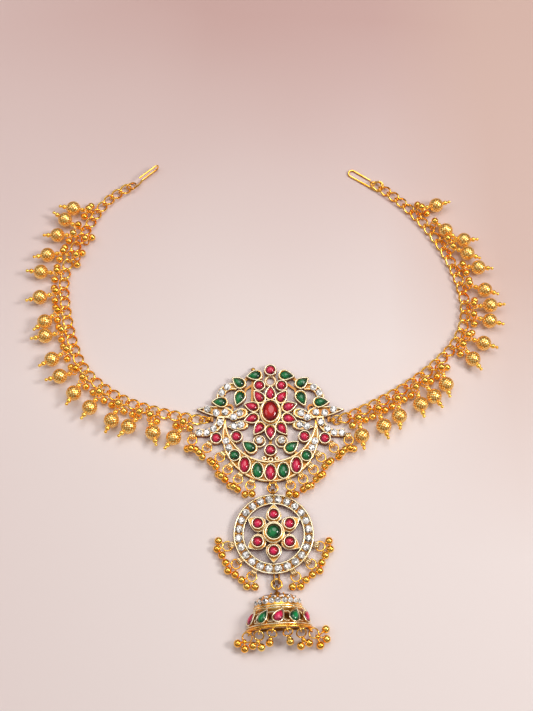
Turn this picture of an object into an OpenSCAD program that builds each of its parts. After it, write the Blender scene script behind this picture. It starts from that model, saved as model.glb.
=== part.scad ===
// Hair chain: a pierced pendant, a ring medallion and a half bell between two curb chains of bead drops.
// The origin is the middle of the pendant's flower, on the back that lies down; Y runs towards the hooks.

/* [Pendant] */
// Thickness of the pierced back plates
plate_t = 1.2; // [1:0.05:1.3]
// Height of the bezel walls above the back
bezel_top = 2.6; // [2.4:0.05:2.8]
// Height of the border rails and the small collets above the back
rail_top = 2; // [1.8:0.05:2.2]
// Width of a bezel wall
bezel_rim = 0.62; // [0.55:0.01:0.65]
// Width of a border rail
rail_w = 0.6; // [0.5:0.05:0.7]
// Clearance round and under every stone
stone_gap = 0.135; // [0.13:0.005:0.14]
// Height of a domed stone
stone_rise = 2.3; // [2.1:0.05:2.4]
// Half width of the oval that the petals stand on
petal_out = 8.15; // [8.1:0.05:8.2]
// Half height of that oval
petal_up = 8.6; // [8.55:0.05:8.65]
// Length of a petal stone
petal_l = 5.4; // [5.3:0.05:5.45]
// Width of a petal stone
petal_w = 3.5; // [3.4:0.05:3.55]
// Length of the centre stone
centre_l = 8.8; // [8.6:0.05:8.9]
// Width of the centre stone
centre_w = 6.6; // [6.4:0.05:6.7]
// Outer radius of the crescent
crescent_r = 19.6; // [19.5:0.05:19.7]
// Radius of the crescent's inner edge
crescent_inner_r = 18.2; // [18.1:0.05:18.3]

/* [Medallion] */
// Outer radius of the round frame
frame_r = 15.8; // [15.7:0.05:15.9]
// Radius of the frame's opening
frame_inner_r = 11.7; // [11.6:0.05:11.8]
// Number of clear stones in the frame
crystal_count = 24; // [23:1:24]
// Diameter of a clear stone
crystal_d = 2.9; // [2.7:0.05:2.9]
// Top of the flower's petal bezels
flower_top = 4.8; // [4.6:0.05:5]
// Top of the bezel in the flower's middle
heart_top = 6.5; // [6.3:0.05:6.7]

/* [Bell] */
// Radius at the rim
rim_r = 13.1; // [13:0.05:13.2]
// Radius at the ridge between dome and band
ridge_r = 9.5; // [9.4:0.05:9.6]
// Length of the dome
dome_l = 5; // [4.9:0.05:5.1]
// Length from the crown to the mouth
bell_l = 14; // [13.8:0.1:14.2]
// Thickness of the wall and of the flat back
bell_wall = 0.8; // [0.7:0.05:0.9]
// Depth of the bell's axis below the flat back
bell_sink = 2.8; // [2.7:0.05:2.9]

/* [Chain] */
// Distance from one link to the next
link_pitch = 4.5; // [4.47:0.01:4.53]
// Length of a link's centreline
link_long = 5.7; // [5.66:0.01:5.74]
// Width of a link's centreline
link_wide = 3.9; // [3.86:0.01:3.94]
// Diameter of the link wire
link_wire = 0.9; // [0.86:0.01:0.92]
// Twist of a link from its middle to its end
link_twist = 45; // [43:1:47]
// Number of links in the left chain
left_links = 34; // [34:1:34]
// Number of links in the right chain
right_links = 33; // [33:1:33]

/* [Rings and drops] */
// Radius of a jump ring on a link
ring_r = 1.85; // [1.82:0.01:1.88]
// Radius of the jump ring wire
ring_wire = 0.34; // [0.3:0.01:0.34]
// Radius of a drop's eye
eye_r = 1; // [0.98:0.01:1.02]
// Radius of the eye's wire
eye_wire = 0.26; // [0.22:0.01:0.27]
// Diameter of the large bead
bead_d = 6.3; // [6.2:0.02:6.3]
// Diameter of the small beads above and below it
spacer_d = 2.1; // [2:0.02:2.2]
// Diameter of the head at the pin's end
tip_d = 1.4; // [1.2:0.05:1.5]
// Diameter of the pin
pin_d = 0.7; // [0.6:0.02:0.7]
// Radius of the small balls
ball_r = 1.55; // [1.5:0.01:1.56]

/* [Hooks] */
// Radius of a hook's eye
hook_eye_r = 2.15; // [2.1:0.01:2.2]
// Radius of the hook wire
hook_wire = 0.42; // [0.4:0.01:0.42]
// Length of a hook past the middle of its eye
hook_l = 13.5; // [13:0.1:14]
// Half width of the hook's bend
hook_bend = 1.6; // [1.5:0.05:1.7]

/* [Hidden] */
$fn = 32;

gold = [0.93, 0.68, 0.25];
ruby = [0.8, 0.06, 0.25];
emerald = [0.02, 0.42, 0.22];
crystal = [0.9, 0.93, 0.95];

// Small helpers
function unit(v) = v / norm(v);
function plan(p, z) = [p[0], p[1], z];
function polar(r, a) = [r * cos(a), r * sin(a)];
function turned(v, a) = [v[0] * cos(a) - v[1] * sin(a), v[0] * sin(a) + v[1] * cos(a), v[2]];

// A seat is one row: x, y, heading of the tip, length, width. A mirrored row lies on the left
function mirrored(rows) = concat(rows, [for (s = rows) [-s[0], s[1], 180 - s[2], s[3], s[4]]]);

// Outline of a pear with its tip on +X, and of an oval, for a stone grown by g all round
outline_steps = 14;
pear_belly = 0.77;
function pear(l, w, g) = [for (k = [0:outline_steps - 1]) let (t = 360 * k / outline_steps)
    [(l / 2 + 1.2 * g) * cos(t), (w / 2 + g) * sin(t) * sin(t / 2) / pear_belly]];
function oval(l, w, g) = [for (k = [0:outline_steps - 1]) let (t = 360 * k / outline_steps)
    [(l / 2 + g) * cos(t), (w / 2 + g) * sin(t)]];

// Seats of the pendant
petal_seats = [for (a = [90:36:449]) [petal_out * cos(a), petal_up * sin(a), a, petal_l, petal_w]];
green_pear_seats = mirrored([
    [6.7, 16.2, -8, 5.4, 3.5],
    [13.2, 13.2, 38, 5.2, 3.6],
    [12.8, 6.2, -70, 5.8, 3.7],
    [20.8, 4.5, 2, 5.4, 3.6],
    [8.6, -14.5, 38, 5.6, 3.7]]);
centre_size = [centre_l, centre_w];
centre_seat = [[0, 0, 90, centre_l, centre_w]];
red_oval_seats = concat([[0, -25.3, 90, 6.2, 4]], mirrored([[10.4, -22.2, 90, 6.1, 3.9]]));
green_oval_seats = mirrored([[5.2, -24.5, 90, 6, 4]]);
red_round_seats = concat([[0, 18.6, 0, 3.8, 3.8], [0, -16, 0, 3.9, 3.9]],
    mirrored([[4.6, 11.8, 0, 3.7, 3.7], [13.8, -10.2, 0, 3.9, 3.9], [22, -10.9, 0, 3.7, 3.7]]));
green_round_seats = mirrored([[14.5, -18.2, 0, 3.8, 3.8]]);
pear_seats = concat(petal_seats, green_pear_seats);
oval_seats = concat(red_oval_seats, green_oval_seats);
round_seats = concat(red_round_seats, green_round_seats);

// Collets of the small clear stones: x, y
collet_r = 1.72;
collet_bore = 1.3;
collets = [for (side = [-1, 1]) for (c = [
    [17.8, 11.2], [20.1, 8.7], [25.8, 1.5], [22.2, 0], [18.6, 0.3], [12.5, -0.1], [15, -1.9],
    [12, -5.2], [14.8, -5.8], [20.5, -4.2], [23.2, -6.9], [25.9, -8.5], [29, -8.5],
    [18, -12.1], [16.8, -15], [4.5, -11.7]]) [side * c[0], c[1]]];

// Plain shapes of the pendant's back
crescent_y = -9.5;
crescent_inner_y = -2.2;
wing_seat = [22.6, 0.7, 7, 15.5, 5.2];
leaf_seats = [[13.8, -0.7, -18, 9.6, 4.6], [13.4, -5.5, -8, 9, 4.2]];
// Curved channels: centre x, centre y, inner radius, outer radius, first angle, last angle
channels = [[15.5, 6.5, 3.6, 6.8, -15, 110], [27.2, -1.6, 5.4, 8.6, 182, 295]];
// Straight bars: from x, from y, to x, to y, width
bars = [[9.5, 15.5, 11.5, 13.5, 1.2], [6.8, 13, 10.2, 10.5, 0.9], [10.2, 10.5, 10.8, 8, 0.9],
    [6.6, 9.2, 6.2, 10.6, 1], [9.8, -16, 11.2, -18, 1.1], [0, -11.4, 0, -14, 1.2],
    [24, 0.4, 24, -2.9, 1.2], [1.2, -17.6, 2.6, -19.2, 1]];
// Scroll rings: x, y, inner radius, outer radius
scrolls = [[16.8, 2.4, 0.9, 1.7], [0, 14.1, 1.6, 2.6], [4.5, -12, 2, 2.7],
    [2.6, -19.2, 0.4, 1.1], [0, -19.6, 0.4, 1.2]];
pin_bar = [-7.6, 3, -7.2, 18.4, 1];
pin_ball_r = 0.9;
foot = 0.15;
base_top = 3;
collar_size = [11.4, 9];
collar_top = 4.6;
stone_lift = 0.1;
centre_crown = 1.3;

// Ribbed eyelets: a stack of wire rings whose bore runs along the edge that they are soldered to
rib_r = 1.1;
rib_wire = 0.42;
rib_pitch = 0.75;
eyelet_z = 1.6;
eyelet_out = 1.3;
// Eyelets of the pendant's right half: x, y, heading, balls. The crescent's own: angle, heading, balls
crescent_rows = [[21, 290, "perched"], [36, 296, "stacked"], [51, 308, "stacked"], [67, 315, "stacked"]];
plain_rows = [[24.9, -13.4, 297, "paired"], [31.6, -9.95, 274, "stacked"]];
pendant_eyelets = concat([for (c = crescent_rows)
    let (p = polar(crescent_r + eyelet_out, 270 + c[0])) [p[0], p[1] + crescent_y, c[1], c[2]]], plain_rows);
joining_eyelet = [25.4, -2.9];
joining_r = 1.8;
joining_z = 1.4;
joining_lean = 22;
joining_rib_r = 0.95;
joining_rib_wire = 0.36;
joining_shift = 0.08;
small_wire = 0.33;

// Joint between pendant and medallion, and between medallion and bell
frame_at = [1.2, -50];
upper_x = 0.9;
lower_x = 2.3;
loop_wire = 0.36;
loop_bow = 1.1;
upper_loops = [-29.3, -31.5];
lower_loops = [-65.8, -69.5];
loop_z = 1.55;
upper_loop_x = 1.2;
upper_shift = 0.15;
upper_pitch = 0.7;
upper_rib_wire = 0.38;
lower_loop_x = 0.95;
upper_ring = [upper_x, -31.5];
upper_ring_r = 2.05;
upper_ring_wire = 0.3;
lower_ring = [lower_x, -69.6];
lower_ring_r = 1.95;
lower_ring_wire = 0.45;
frame_eyelets = [for (a = [27, 51, 75])
    let (p = polar(frame_r + eyelet_out, 270 + a)) [p[0], p[1], 270 + a, "spread"]];

// Bell
bell_at = [2.5, -73];
bell_turn = 3.5;
crown_r = 3.4;
dome_steps = 8;
bell_pear = [5, 3.3];
bell_pear_at = 9.6;
bell_rise = 1.7;
bell_seat_z = 0.14;
bezel_foot = 0.6;
bezel_stand = 0.9;
ridge_wire = 0.4;
rim_wire = 0.5;
rim_inset = 0.1;
rim_eye_drop = 0.75;
bell_angles = [-60, -30, 0, 30, 60];
window_angles = [-45, -15, 15, 45];
bell_tip = -32;
window = [2.8, 1.8];
window_cut = 6;
crown_eye = [1.15, 0.46];
crown_eye_z = 1.62;
crown_ball_r = 1.55;
crown_ball_y = 0.9;
crown_eye_shift = 0.05;
band_slope = atan((rim_r - ridge_r) / (bell_l - dome_l));
// Small balls of the rim: angle round the bell, heading, slope down, length, number of balls
rim_rows = [[-60, 234, 10, 7.2, 2], [-36, 260, 38, 8, 2], [-12, 254, 54, 8.6, 1],
    [12, 288, 56, 8.6, 1], [36, 290, 40, 8.6, 2], [63, 319, 10, 7.2, 3]];
// Places of one, two or three balls past the end of the ring: along, across
rim_balls = [[[0, 0]], [[0, -1.65], [0, 1.65]], [[0.9, -1.7], [1.2, 1.7], [-1.4, 4.2]]];
rim_shift = 0.1;
rim_pin = 0.3;
middle_ball_r = 0.95;
middle_back = 2;

// Routes of the chains: start, first heading, side of the drops, and rows of links, turn per link
chain_z = 1.3;
left_start = [-30.5, -2.6];
left_heading = 172;
left_turns = [[5, -2], [5, -4.5], [4, -7.5], [6, -2], [5, -6.5], [4, -0.5], [4, -8]];
right_start = [30.3, -2.15];
right_heading = 23;
right_turns = [[6, 1.5], [6, 2.5], [6, 8.5], [5, 3.5], [10, 3]];

// Drops: link, lean of the ring, heading of the pin, balls on the left, right and top of the ring
left_rows = [
    [1, 0, 235, "lrt"], [4, 0, 286, "lt"], [5, 0, 230, "rt"], [7, 0, 250, "lrt"],
    [9, 0, 240, "lrt"], [11, 0, 245, "lt"], [12, 0, 200, "rt"], [14, 0, 215, "lrt"],
    [16, 0, 197, "lrt"], [18, 0, 225, "lrt"], [20, 0, 200, "lrt"], [22, 0, 180, "lrt"],
    [24, 0, 195, "lrt"], [26, 0, 186, "lt"], [27, 0, 150, "t"], [29, 0, 175, "lrt"]];
right_rows = [
    [1, 0, 277, "lrt"], [3, 0, 285, "lrt"], [5, 0, 270, "lrt"], [7, 0, 280, "rt"],
    [8, 0, 300, "lt"], [10, 0, 280, "lrt"], [13, 0, 300, "rt"], [14, 0, 335, "lt"],
    [16, 0, 340, "rt"], [17, 0, 0, "lt"], [19, 0, 335, "lt"], [21, 0, 350, "rt"],
    [23, 0, 330, "t"], [24, -15, -2, "t"], [26, 15, 312, "t"], [28, 0, 10, "lrt"]];
// Rings on the inner side of the left chain, which carry balls alone
inner_rows = [[24, 0, 0, "lrt"], [26, 0, 0, "lt"]];
ring_z = 2;
ring_off = 0.45;
ring_tilt = 30;
bead_at = 6.15;
bead_z = 3.15;
spacer_at = [2.1, 10.15];
tip_at = 11.9;
neck_r = 0.3;
// Balls round a ring on a link: letter, outward, sideways, height, angle on the ring where the neck starts
ball_places = [["l", 1.7, 2.95, 1.6, 75], ["r", 1.7, -2.95, 1.6, -75], ["t", 0.6, 0, 5.1, 90]];
// Balls of a flat cluster on the right half: angle round the ring, height
function cluster_balls(kind) =
    kind == "stacked" ? [[-24.5, 1.6], [24.5, 1.6], [0, 4.25]] :
    kind == "paired" ? [[0, 1.6], [20, 4.45]] :
    kind == "perched" ? [[10, 1.6], [-30, 4.3]] :
    [[-46, 1.6], [0, 1.6], [46, 1.6]];
cluster_reach = 4.1;
cluster_pin = 0.28;
ring_shift = 0.2;

// Headings and points of a route
function turns(rows) = [for (r = rows) for (k = [1:r[0]]) r[1]];
function headings(first, list) = [for (i = 0, h = first; i <= len(list);
    h = h + (i < len(list) ? list[i] : 0), i = i + 1) h];
function route(start, heads) = [for (i = 0, p = start; i < len(heads);
    p = p + (i + 1 < len(heads) ? link_pitch * polar(1, (heads[i] + heads[i + 1]) / 2) : [0, 0]), i = i + 1) p];
left_heads = headings(left_heading, turns(left_turns));
right_heads = headings(right_heading, turns(right_turns));
left_route = route(left_start, left_heads);
right_route = route(right_start, right_heads);

// Faces of a closed tube, and of a capped stack of rings
function tube_faces(rings, sides, first) = [for (i = [0:rings - 1]) for (j = [0:sides - 1])
    let (a = first + i * sides, b = first + ((i + 1) % rings) * sides, n = (j + 1) % sides)
    each [[a + j, a + n, b + n], [a + j, b + n, b + j]]];
function stack_faces(levels, sides, first) = concat(
    [[for (j = [0:sides - 1]) first + j]],
    [for (i = [0:levels - 2]) for (j = [0:sides - 1])
        let (a = first + i * sides, b = a + sides, n = (j + 1) % sides)
        each [[a + j, b + n, a + n], [a + j, b + j, b + n]]],
    [[for (j = [0:sides - 1]) first + levels * sides - 1 - j]]);

// One curb link: an oval whose plane turns about the chain's axis
link_rings = 12;
wire_sides = 5;
function link_ring(t) = let (
        twist = link_twist * cos(t),
        half = [link_long / 2, link_wide / 2],
        across = [0, cos(twist), sin(twist)],
        up = [0, -sin(twist), cos(twist)],
        middle = [half[0] * cos(t), 0, 0] + half[1] * sin(t) * across,
        along = [-half[0] * sin(t), 0, 0] + half[1] * cos(t) * across
            - half[1] * sin(t) * link_twist * PI / 180 * sin(t) * up,
        side = unit(cross(along, up)),
        top = unit(cross(side, along)))
    [for (k = [0:wire_sides - 1]) let (a = 360 * k / wire_sides)
        middle + link_wire / 2 * (cos(a) * side + sin(a) * top)];
link_points = [for (i = [0:link_rings - 1]) each link_ring(360 * i / link_rings)];

module chain(points, heads, count) {
    polyhedron(
        points = [for (k = [0:count - 1]) for (p = link_points) turned(p, heads[k]) + plan(points[k], chain_z)],
        faces = [for (k = [0:count - 1]) each tube_faces(link_rings, wire_sides, k * len(link_points))]);
}

// Stones as rings of an outline: share of the outline, share of the height
wall_share = 0.35;
dome_levels = [[0.96, 0], [1, wall_share], [0.84, 0.76], [0.4, 1]];
cut_levels = [[0.4, 0], [1, 0.62], [0.62, 1]];
function stacked(outline, levels, rise) =
    [for (v = levels) for (p = outline) [p[0] * v[0], p[1] * v[0], v[1] * rise]];

module stones(outlines, places, levels, rise) {
    sides = len(outlines[0]);
    polyhedron(
        points = [for (i = [0:len(outlines) - 1]) for (p = stacked(outlines[i], levels, rise))
            turned(p, places[i][2]) + plan(places[i], places[i][3])],
        faces = [for (i = [0:len(outlines) - 1]) each stack_faces(len(levels), sides, i * sides * len(levels))]);
}
function seat_places(seats, z) = [for (s = seats) [s[0], s[1], s[2], z]];
seat_z = plate_t + stone_lift;

module pear_stones(seats) {
    stones([for (s = seats) pear(s[3], s[4], 0)], seat_places(seats, seat_z), dome_levels, stone_rise);
}
module oval_stones(seats, z = seat_z, rise = stone_rise) {
    stones([for (s = seats) oval(s[3], s[4], 0)], seat_places(seats, z), dome_levels, rise);
}
// A round cabochon: a short wall under part of a sphere
module round_stone(at, d, z, rise) {
    wall = wall_share * rise;
    cap = rise - wall;
    r = (cap * cap + d * d / 4) / (2 * cap);
    translate(plan(at, z)) intersection() {
        cylinder(d = d, h = rise);
        translate([0, 0, rise - r]) sphere(r, $fn = 48);
    }
}
module round_stones(seats) {
    for (s = seats) round_stone(s, s[3], seat_z, stone_rise);
}

// Straight wire between two points, and a round wire ring
module rod(p, q, r) {
    v = q - p;
    translate(p) rotate([0, acos(v[2] / norm(v)), atan2(v[1], v[0])]) cylinder(r = r, h = norm(v));
}
module wire_ring(r, wire) {
    rotate_extrude() translate([r, 0]) circle(wire);
}

// Outlines of the pendant's seats, grown by g
module seat_shapes(g) {
    for (s = pear_seats) translate([s[0], s[1]]) rotate(s[2]) polygon(pear(s[3], s[4], g));
    for (s = oval_seats) translate([s[0], s[1]]) rotate(s[2]) polygon(oval(s[3], s[4], g));
    for (s = round_seats) translate([s[0], s[1]]) circle(s[3] / 2 + g);
}
module centre_shape(size, g) {
    rotate(90) polygon(oval(size[0], size[1], g));
}
module crescent(inset) {
    difference() {
        translate([0, crescent_y]) circle(crescent_r - inset, $fn = 96);
        translate([0, crescent_inner_y]) circle(crescent_inner_r + inset, $fn = 96);
    }
}
module sector(c, inset) {
    step = (c[5] - c[4]) / 10;
    arc = [for (k = [0:10]) c[4] + k * step];
    translate([c[0], c[1]]) polygon(concat(
        [for (a = arc) polar(c[3] - inset, a)], [for (k = [0:10]) polar(c[2] + inset, arc[10 - k])]));
}
module bar(b) {
    v = [b[2] - b[0], b[3] - b[1]];
    translate([b[0], b[1]]) rotate(atan2(v[1], v[0]))
        translate([-b[4] / 2, -b[4] / 2]) square([norm(v) + b[4], b[4]]);
}
module pear_plate(s, g) {
    translate([s[0], s[1]]) rotate(s[2]) polygon(pear(s[3], s[4], g));
}
module both_sides() {
    for (side = [0, 1]) mirror([side, 0]) children();
}

module back_shape() {
    crescent(0);
    seat_shapes(bezel_rim + foot);
    centre_shape(collar_size, 0);
    for (c = collets) translate(c) circle(collet_r);
    bar(pin_bar);
    both_sides() {
        pear_plate(wing_seat, 0);
        for (s = leaf_seats) pear_plate(s, 0);
        for (c = channels) sector(c, 0);
        for (b = bars) bar(b);
        for (s = scrolls) translate([s[0], s[1]]) difference() {
            circle(s[3]);
            circle(s[2]);
        }
    }
}
module rail_shape() {
    difference() {
        union() {
            difference() {
                crescent(foot);
                crescent(foot + rail_w);
            }
            both_sides() {
                for (s = concat([wing_seat], leaf_seats)) difference() {
                    pear_plate(s, -foot);
                    pear_plate(s, -foot - rail_w);
                }
                for (c = channels) difference() {
                    sector(c, foot);
                    sector(c, foot + rail_w);
                }
            }
            for (c = collets) translate(c) circle(collet_r - foot);
        }
        for (c = collets) translate(c) circle(collet_bore);
        seat_shapes(stone_gap);
    }
}
module bezel_shape() {
    difference() {
        seat_shapes(bezel_rim);
        seat_shapes(stone_gap);
    }
}

module eyelet(at, heading, ribs = 3, pitch = rib_pitch, r = rib_r, wire = rib_wire, z = eyelet_z) {
    for (k = [0:ribs - 1]) translate(plan(at, z)) rotate([0, 0, heading])
        translate([0, (k - (ribs - 1) / 2) * pitch, 0]) rotate([90, 0, 0]) wire_ring(r, wire);
}
// A long loop that stands across the joint, from one y to the other
module standing_loop(x, from, to) {
    straight = from - to - 2 * loop_bow;
    translate([x, from - loop_bow, loop_z]) rotate([0, -90, 0]) {
        rotate_extrude(angle = 180) translate([loop_bow, 0]) circle(loop_wire);
        translate([0, -straight, 0]) rotate(180)
            rotate_extrude(angle = 180) translate([loop_bow, 0]) circle(loop_wire);
        for (side = [-1, 1]) translate([side * loop_bow, 0, 0])
            rotate([90, 0, 0]) cylinder(r = loop_wire, h = straight);
    }
}

module pendant_plate() {
    color(gold) {
        linear_extrude(plate_t) back_shape();
        translate([0, 0, plate_t / 2]) linear_extrude(bezel_top - plate_t / 2) bezel_shape();
        translate([0, 0, plate_t / 3]) linear_extrude(rail_top - plate_t / 3) rail_shape();
        difference() {
            union() {
                linear_extrude(base_top) centre_shape(collar_size, -foot);
                linear_extrude(collar_top) centre_shape(centre_size, bezel_rim);
            }
            translate([0, 0, base_top]) linear_extrude(collar_top) centre_shape(centre_size, stone_gap);
        }
        translate([pin_bar[2], pin_bar[3] + pin_ball_r, pin_ball_r]) sphere(pin_ball_r);
        both_sides() {
            for (e = pendant_eyelets) eyelet(e, e[2]);
        }
        for (side = [-1, 1]) translate([side * joining_eyelet[0], joining_eyelet[1], joining_z])
            rotate([side * joining_lean, 0, 0])
                eyelet([0, 0], 0, ribs = 2, r = joining_rib_r, wire = joining_rib_wire, z = 0);
        for (side = [-1, 1])
            standing_loop(upper_x + side * upper_loop_x, upper_loops[0] + loop_wire, upper_loops[1]);
    }
}
module centre_ruby() {
    color(ruby) oval_stones(centre_seat, base_top + stone_lift, collar_top - base_top + centre_crown);
}
module petal_rubies() {
    color(ruby) pear_stones(petal_seats);
}
module pendant_rubies() {
    color(ruby) {
        oval_stones(red_oval_seats);
        round_stones(red_round_seats);
    }
}
module pendant_emeralds() {
    color(emerald) {
        pear_stones(green_pear_seats);
        oval_stones(green_oval_seats);
        round_stones(green_round_seats);
    }
}

// Medallion: frame with a stone channel round an open flower
frame_mid_r = (frame_r + frame_inner_r) / 2;
flower_base = 3.2;
flower_reach = 7.2;
flower_stone = 3.7;
heart_stone = 5.6;
heart_base = 4.7;
heart_collar_r = 4.3;
heart_crown = 1.2;
leaf_size = [8, 6.4];
leaf_shift = 0.7;
frame_rise = 0.3;
cut_above = 5;
crystal_seat_r = 1.75;
crystal_rise = 1.7;
crystal_angles = [for (k = [0:crystal_count - 1]) 360 * (k + 0.5) / crystal_count];
flower_angles = [30:60:330];

module medallion_plate() {
    color(gold) {
        translate(plan(frame_at, 0)) {
            difference() {
                cylinder(r = frame_r, h = rail_top + frame_rise, $fn = 96);
                translate([0, 0, -1]) cylinder(r = frame_inner_r, h = cut_above, $fn = 96);
                translate([0, 0, plate_t]) difference() {
                    cylinder(r = frame_r - rail_w, h = cut_above, $fn = 96);
                    translate([0, 0, -1]) cylinder(r = frame_inner_r + rail_w, h = cut_above + 2, $fn = 96);
                    for (a = crystal_angles) translate(plan(polar(frame_mid_r, a), -1))
                        cylinder(r = crystal_seat_r, h = rail_top - plate_t + 1);
                }
                for (a = crystal_angles) translate(plan(polar(frame_mid_r, a), plate_t))
                    cylinder(d = crystal_d + 2 * stone_gap, h = cut_above);
            }
            difference() {
                union() {
                    for (a = flower_angles) rotate(a) {
                        translate([flower_reach + leaf_shift, 0]) linear_extrude(flower_base)
                            polygon(pear(leaf_size[0], leaf_size[1], 0));
                        translate([flower_reach, 0]) cylinder(d = flower_stone + 2 * bezel_rim, h = flower_top);
                    }
                    cylinder(r = heart_collar_r, h = heart_base);
                    cylinder(d = heart_stone + 2 * bezel_rim, h = heart_top);
                }
                for (a = flower_angles) rotate(a) translate([flower_reach, 0, flower_base])
                    cylinder(d = flower_stone + 2 * stone_gap, h = cut_above);
                translate([0, 0, heart_base]) cylinder(d = heart_stone + 2 * stone_gap, h = cut_above);
            }
        }
        translate(plan(frame_at, 0)) both_sides() for (e = frame_eyelets) eyelet(e, e[2]);
        eyelet([upper_x, upper_ring[1] - upper_ring_r + upper_shift], 90,
            ribs = 2, pitch = upper_pitch, wire = upper_rib_wire);
        for (side = [-1, 1])
            standing_loop(lower_x + side * lower_loop_x, lower_loops[0] + loop_wire, lower_loops[1]);
    }
}
module medallion_rubies() {
    color(ruby) for (a = flower_angles)
        round_stone(frame_at + polar(flower_reach, a), flower_stone, flower_base + stone_lift, stone_rise);
}
module medallion_emerald() {
    color(emerald)
        round_stone(frame_at, heart_stone, heart_base + stone_lift, heart_top - heart_base + heart_crown);
}
module medallion_crystals() {
    cut = [for (a = [22.5:45:359]) polar(crystal_d / 2, a)];
    color(crystal) stones([for (a = crystal_angles) cut],
        [for (a = crystal_angles) let (p = frame_at + polar(frame_mid_r, a)) [p[0], p[1], a, seat_z]],
        cut_levels, crystal_rise);
}

// Bell: its own axis runs from the crown to the mouth, and the floor cuts it lengthwise
function dome_profile(r0, r1, l) = [for (k = [0:dome_steps]) let (a = 90 * k / dome_steps)
    [r0 + (r1 - r0) * sin(a), l * (1 - cos(a))]];
module bell_place() {
    translate([bell_at[0], bell_at[1], -bell_sink]) rotate([0, 0, bell_turn]) rotate([90, 0, 0]) children();
}
module above_floor(z) {
    intersection() {
        children();
        translate([bell_at[0] - 20, bell_at[1] - 20, z]) cube([40, 24, 20]);
    }
}
function band_r(t) = ridge_r + (rim_r - ridge_r) * (t - dome_l) / (bell_l - dome_l);
// Children stand on the band at the angle, with X towards the crown and Z outwards
module on_band(angle) {
    bell_place() rotate([0, 0, -angle]) translate([0, band_r(bell_pear_at), bell_pear_at])
        rotate([-90 - band_slope, 0, 0]) rotate([0, 0, 90]) children();
}
module bell_shell() {
    difference() {
        above_floor(0) bell_place() rotate_extrude($fn = 96) polygon(concat([[0, 0]],
            dome_profile(crown_r, ridge_r, dome_l), [[rim_r, bell_l], [0, bell_l]]));
        above_floor(bell_wall) bell_place() rotate_extrude($fn = 96) polygon(concat([[0, bell_wall]],
            [for (p = dome_profile(crown_r, ridge_r, dome_l)) p + [-bell_wall, bell_wall * (1 - p[1] / dome_l)]],
            [[rim_r - bell_wall, bell_l + 1], [0, bell_l + 1]]));
        for (a = window_angles) on_band(a) cube([window[0], window[1], window_cut], center = true);
    }
}
module bell() {
    color(gold) {
        bell_shell();
        above_floor(0) bell_place() {
            translate([0, 0, dome_l]) wire_ring(ridge_r, ridge_wire, $fn = 96);
            translate([0, 0, bell_l - rim_wire]) wire_ring(rim_r - rim_inset, rim_wire, $fn = 96);
        }
        for (a = bell_angles) on_band(a) rotate(bell_tip) difference() {
            translate([0, 0, -bezel_foot]) linear_extrude(bezel_foot + bezel_stand)
                polygon(pear(bell_pear[0], bell_pear[1], bezel_rim));
            linear_extrude(2 * bezel_stand) polygon(pear(bell_pear[0], bell_pear[1], stone_gap));
        }
        translate([bell_at[0], bell_at[1] - crown_ball_y, crown_eye_z]) sphere(crown_ball_r);
        translate([lower_x, lower_ring[1] - lower_ring_r + crown_eye_shift, crown_eye_z]) rotate([0, 90, 0])
            wire_ring(crown_eye[0], crown_eye[1]);
        for (r = rim_rows) translate(rim_point(r[0])) rotate([0, 0, r[1]]) rotate([90, 0, 0])
            wire_ring(rim_eye_r, rim_eye_wire);
    }
}
module bell_stones(angles) {
    for (a = angles) on_band(a) rotate(bell_tip)
        stones([pear(bell_pear[0], bell_pear[1], 0)], [[0, 0, 0, bell_seat_z]], dome_levels, bell_rise);
}
module bell_stones_red() {
    color(ruby) bell_stones([bell_angles[0], bell_angles[2], bell_angles[4]]);
}
module bell_stones_green() {
    color(emerald) bell_stones([bell_angles[1], bell_angles[3]]);
}

// Balls on the bell's rim: ring, a small middle ball and a pair of balls, all hanging one way
rim_eye_r = 0.95;
rim_eye_wire = 0.34;
function rim_point(a) = let (p = turned([(rim_r - rim_inset) * sin(a), -bell_l - rim_eye_drop, 0], bell_turn))
    [bell_at[0] + p[0], bell_at[1] + p[1], (rim_r - rim_inset) * cos(a) - bell_sink];
module rim_dangle(row) {
    end = row[3] - ball_r;
    middle = end - middle_back;
    translate(rim_point(row[0])) rotate([0, row[2], row[1]]) {
        translate([ring_r - rim_shift, 0, 0]) wire_ring(ring_r, rim_pin);
        rod([2 * ring_r - rim_shift, 0, 0], [middle, 0, 0], neck_r);
        translate([middle, 0, 0]) rotate(-90) sphere(middle_ball_r);
        for (b = rim_balls[row[4] - 1]) {
            rod([middle, 0, 0], [end + b[0], b[1], 0], neck_r);
            translate([end + b[0], b[1], 0]) sphere(ball_r);
        }
    }
}
module bell_dangles() {
    color(gold) for (r = rim_rows) rim_dangle(r);
}

// Flat cluster: a ring through an eyelet, with its balls
module dangle(e) {
    ring_at = plan([e[0], e[1]] + polar(ring_r - ring_shift, e[2]), eyelet_z);
    translate(ring_at) wire_ring(ring_r, small_wire);
    for (b = cluster_balls(e[3])) {
        way = polar(1, e[2] + b[0]);
        ball = plan([ring_at[0], ring_at[1]] + cluster_reach * way, b[1]);
        translate(ball) sphere(ball_r);
        rod(plan([ring_at[0], ring_at[1]] + ring_r * way, eyelet_z), ball, cluster_pin);
    }
}
module pendant_dangles() {
    color(gold) both_sides() for (e = pendant_eyelets) dangle(e);
}
module medallion_dangles() {
    color(gold) translate(plan(frame_at, 0)) both_sides() for (e = frame_eyelets) dangle(e);
}

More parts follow.
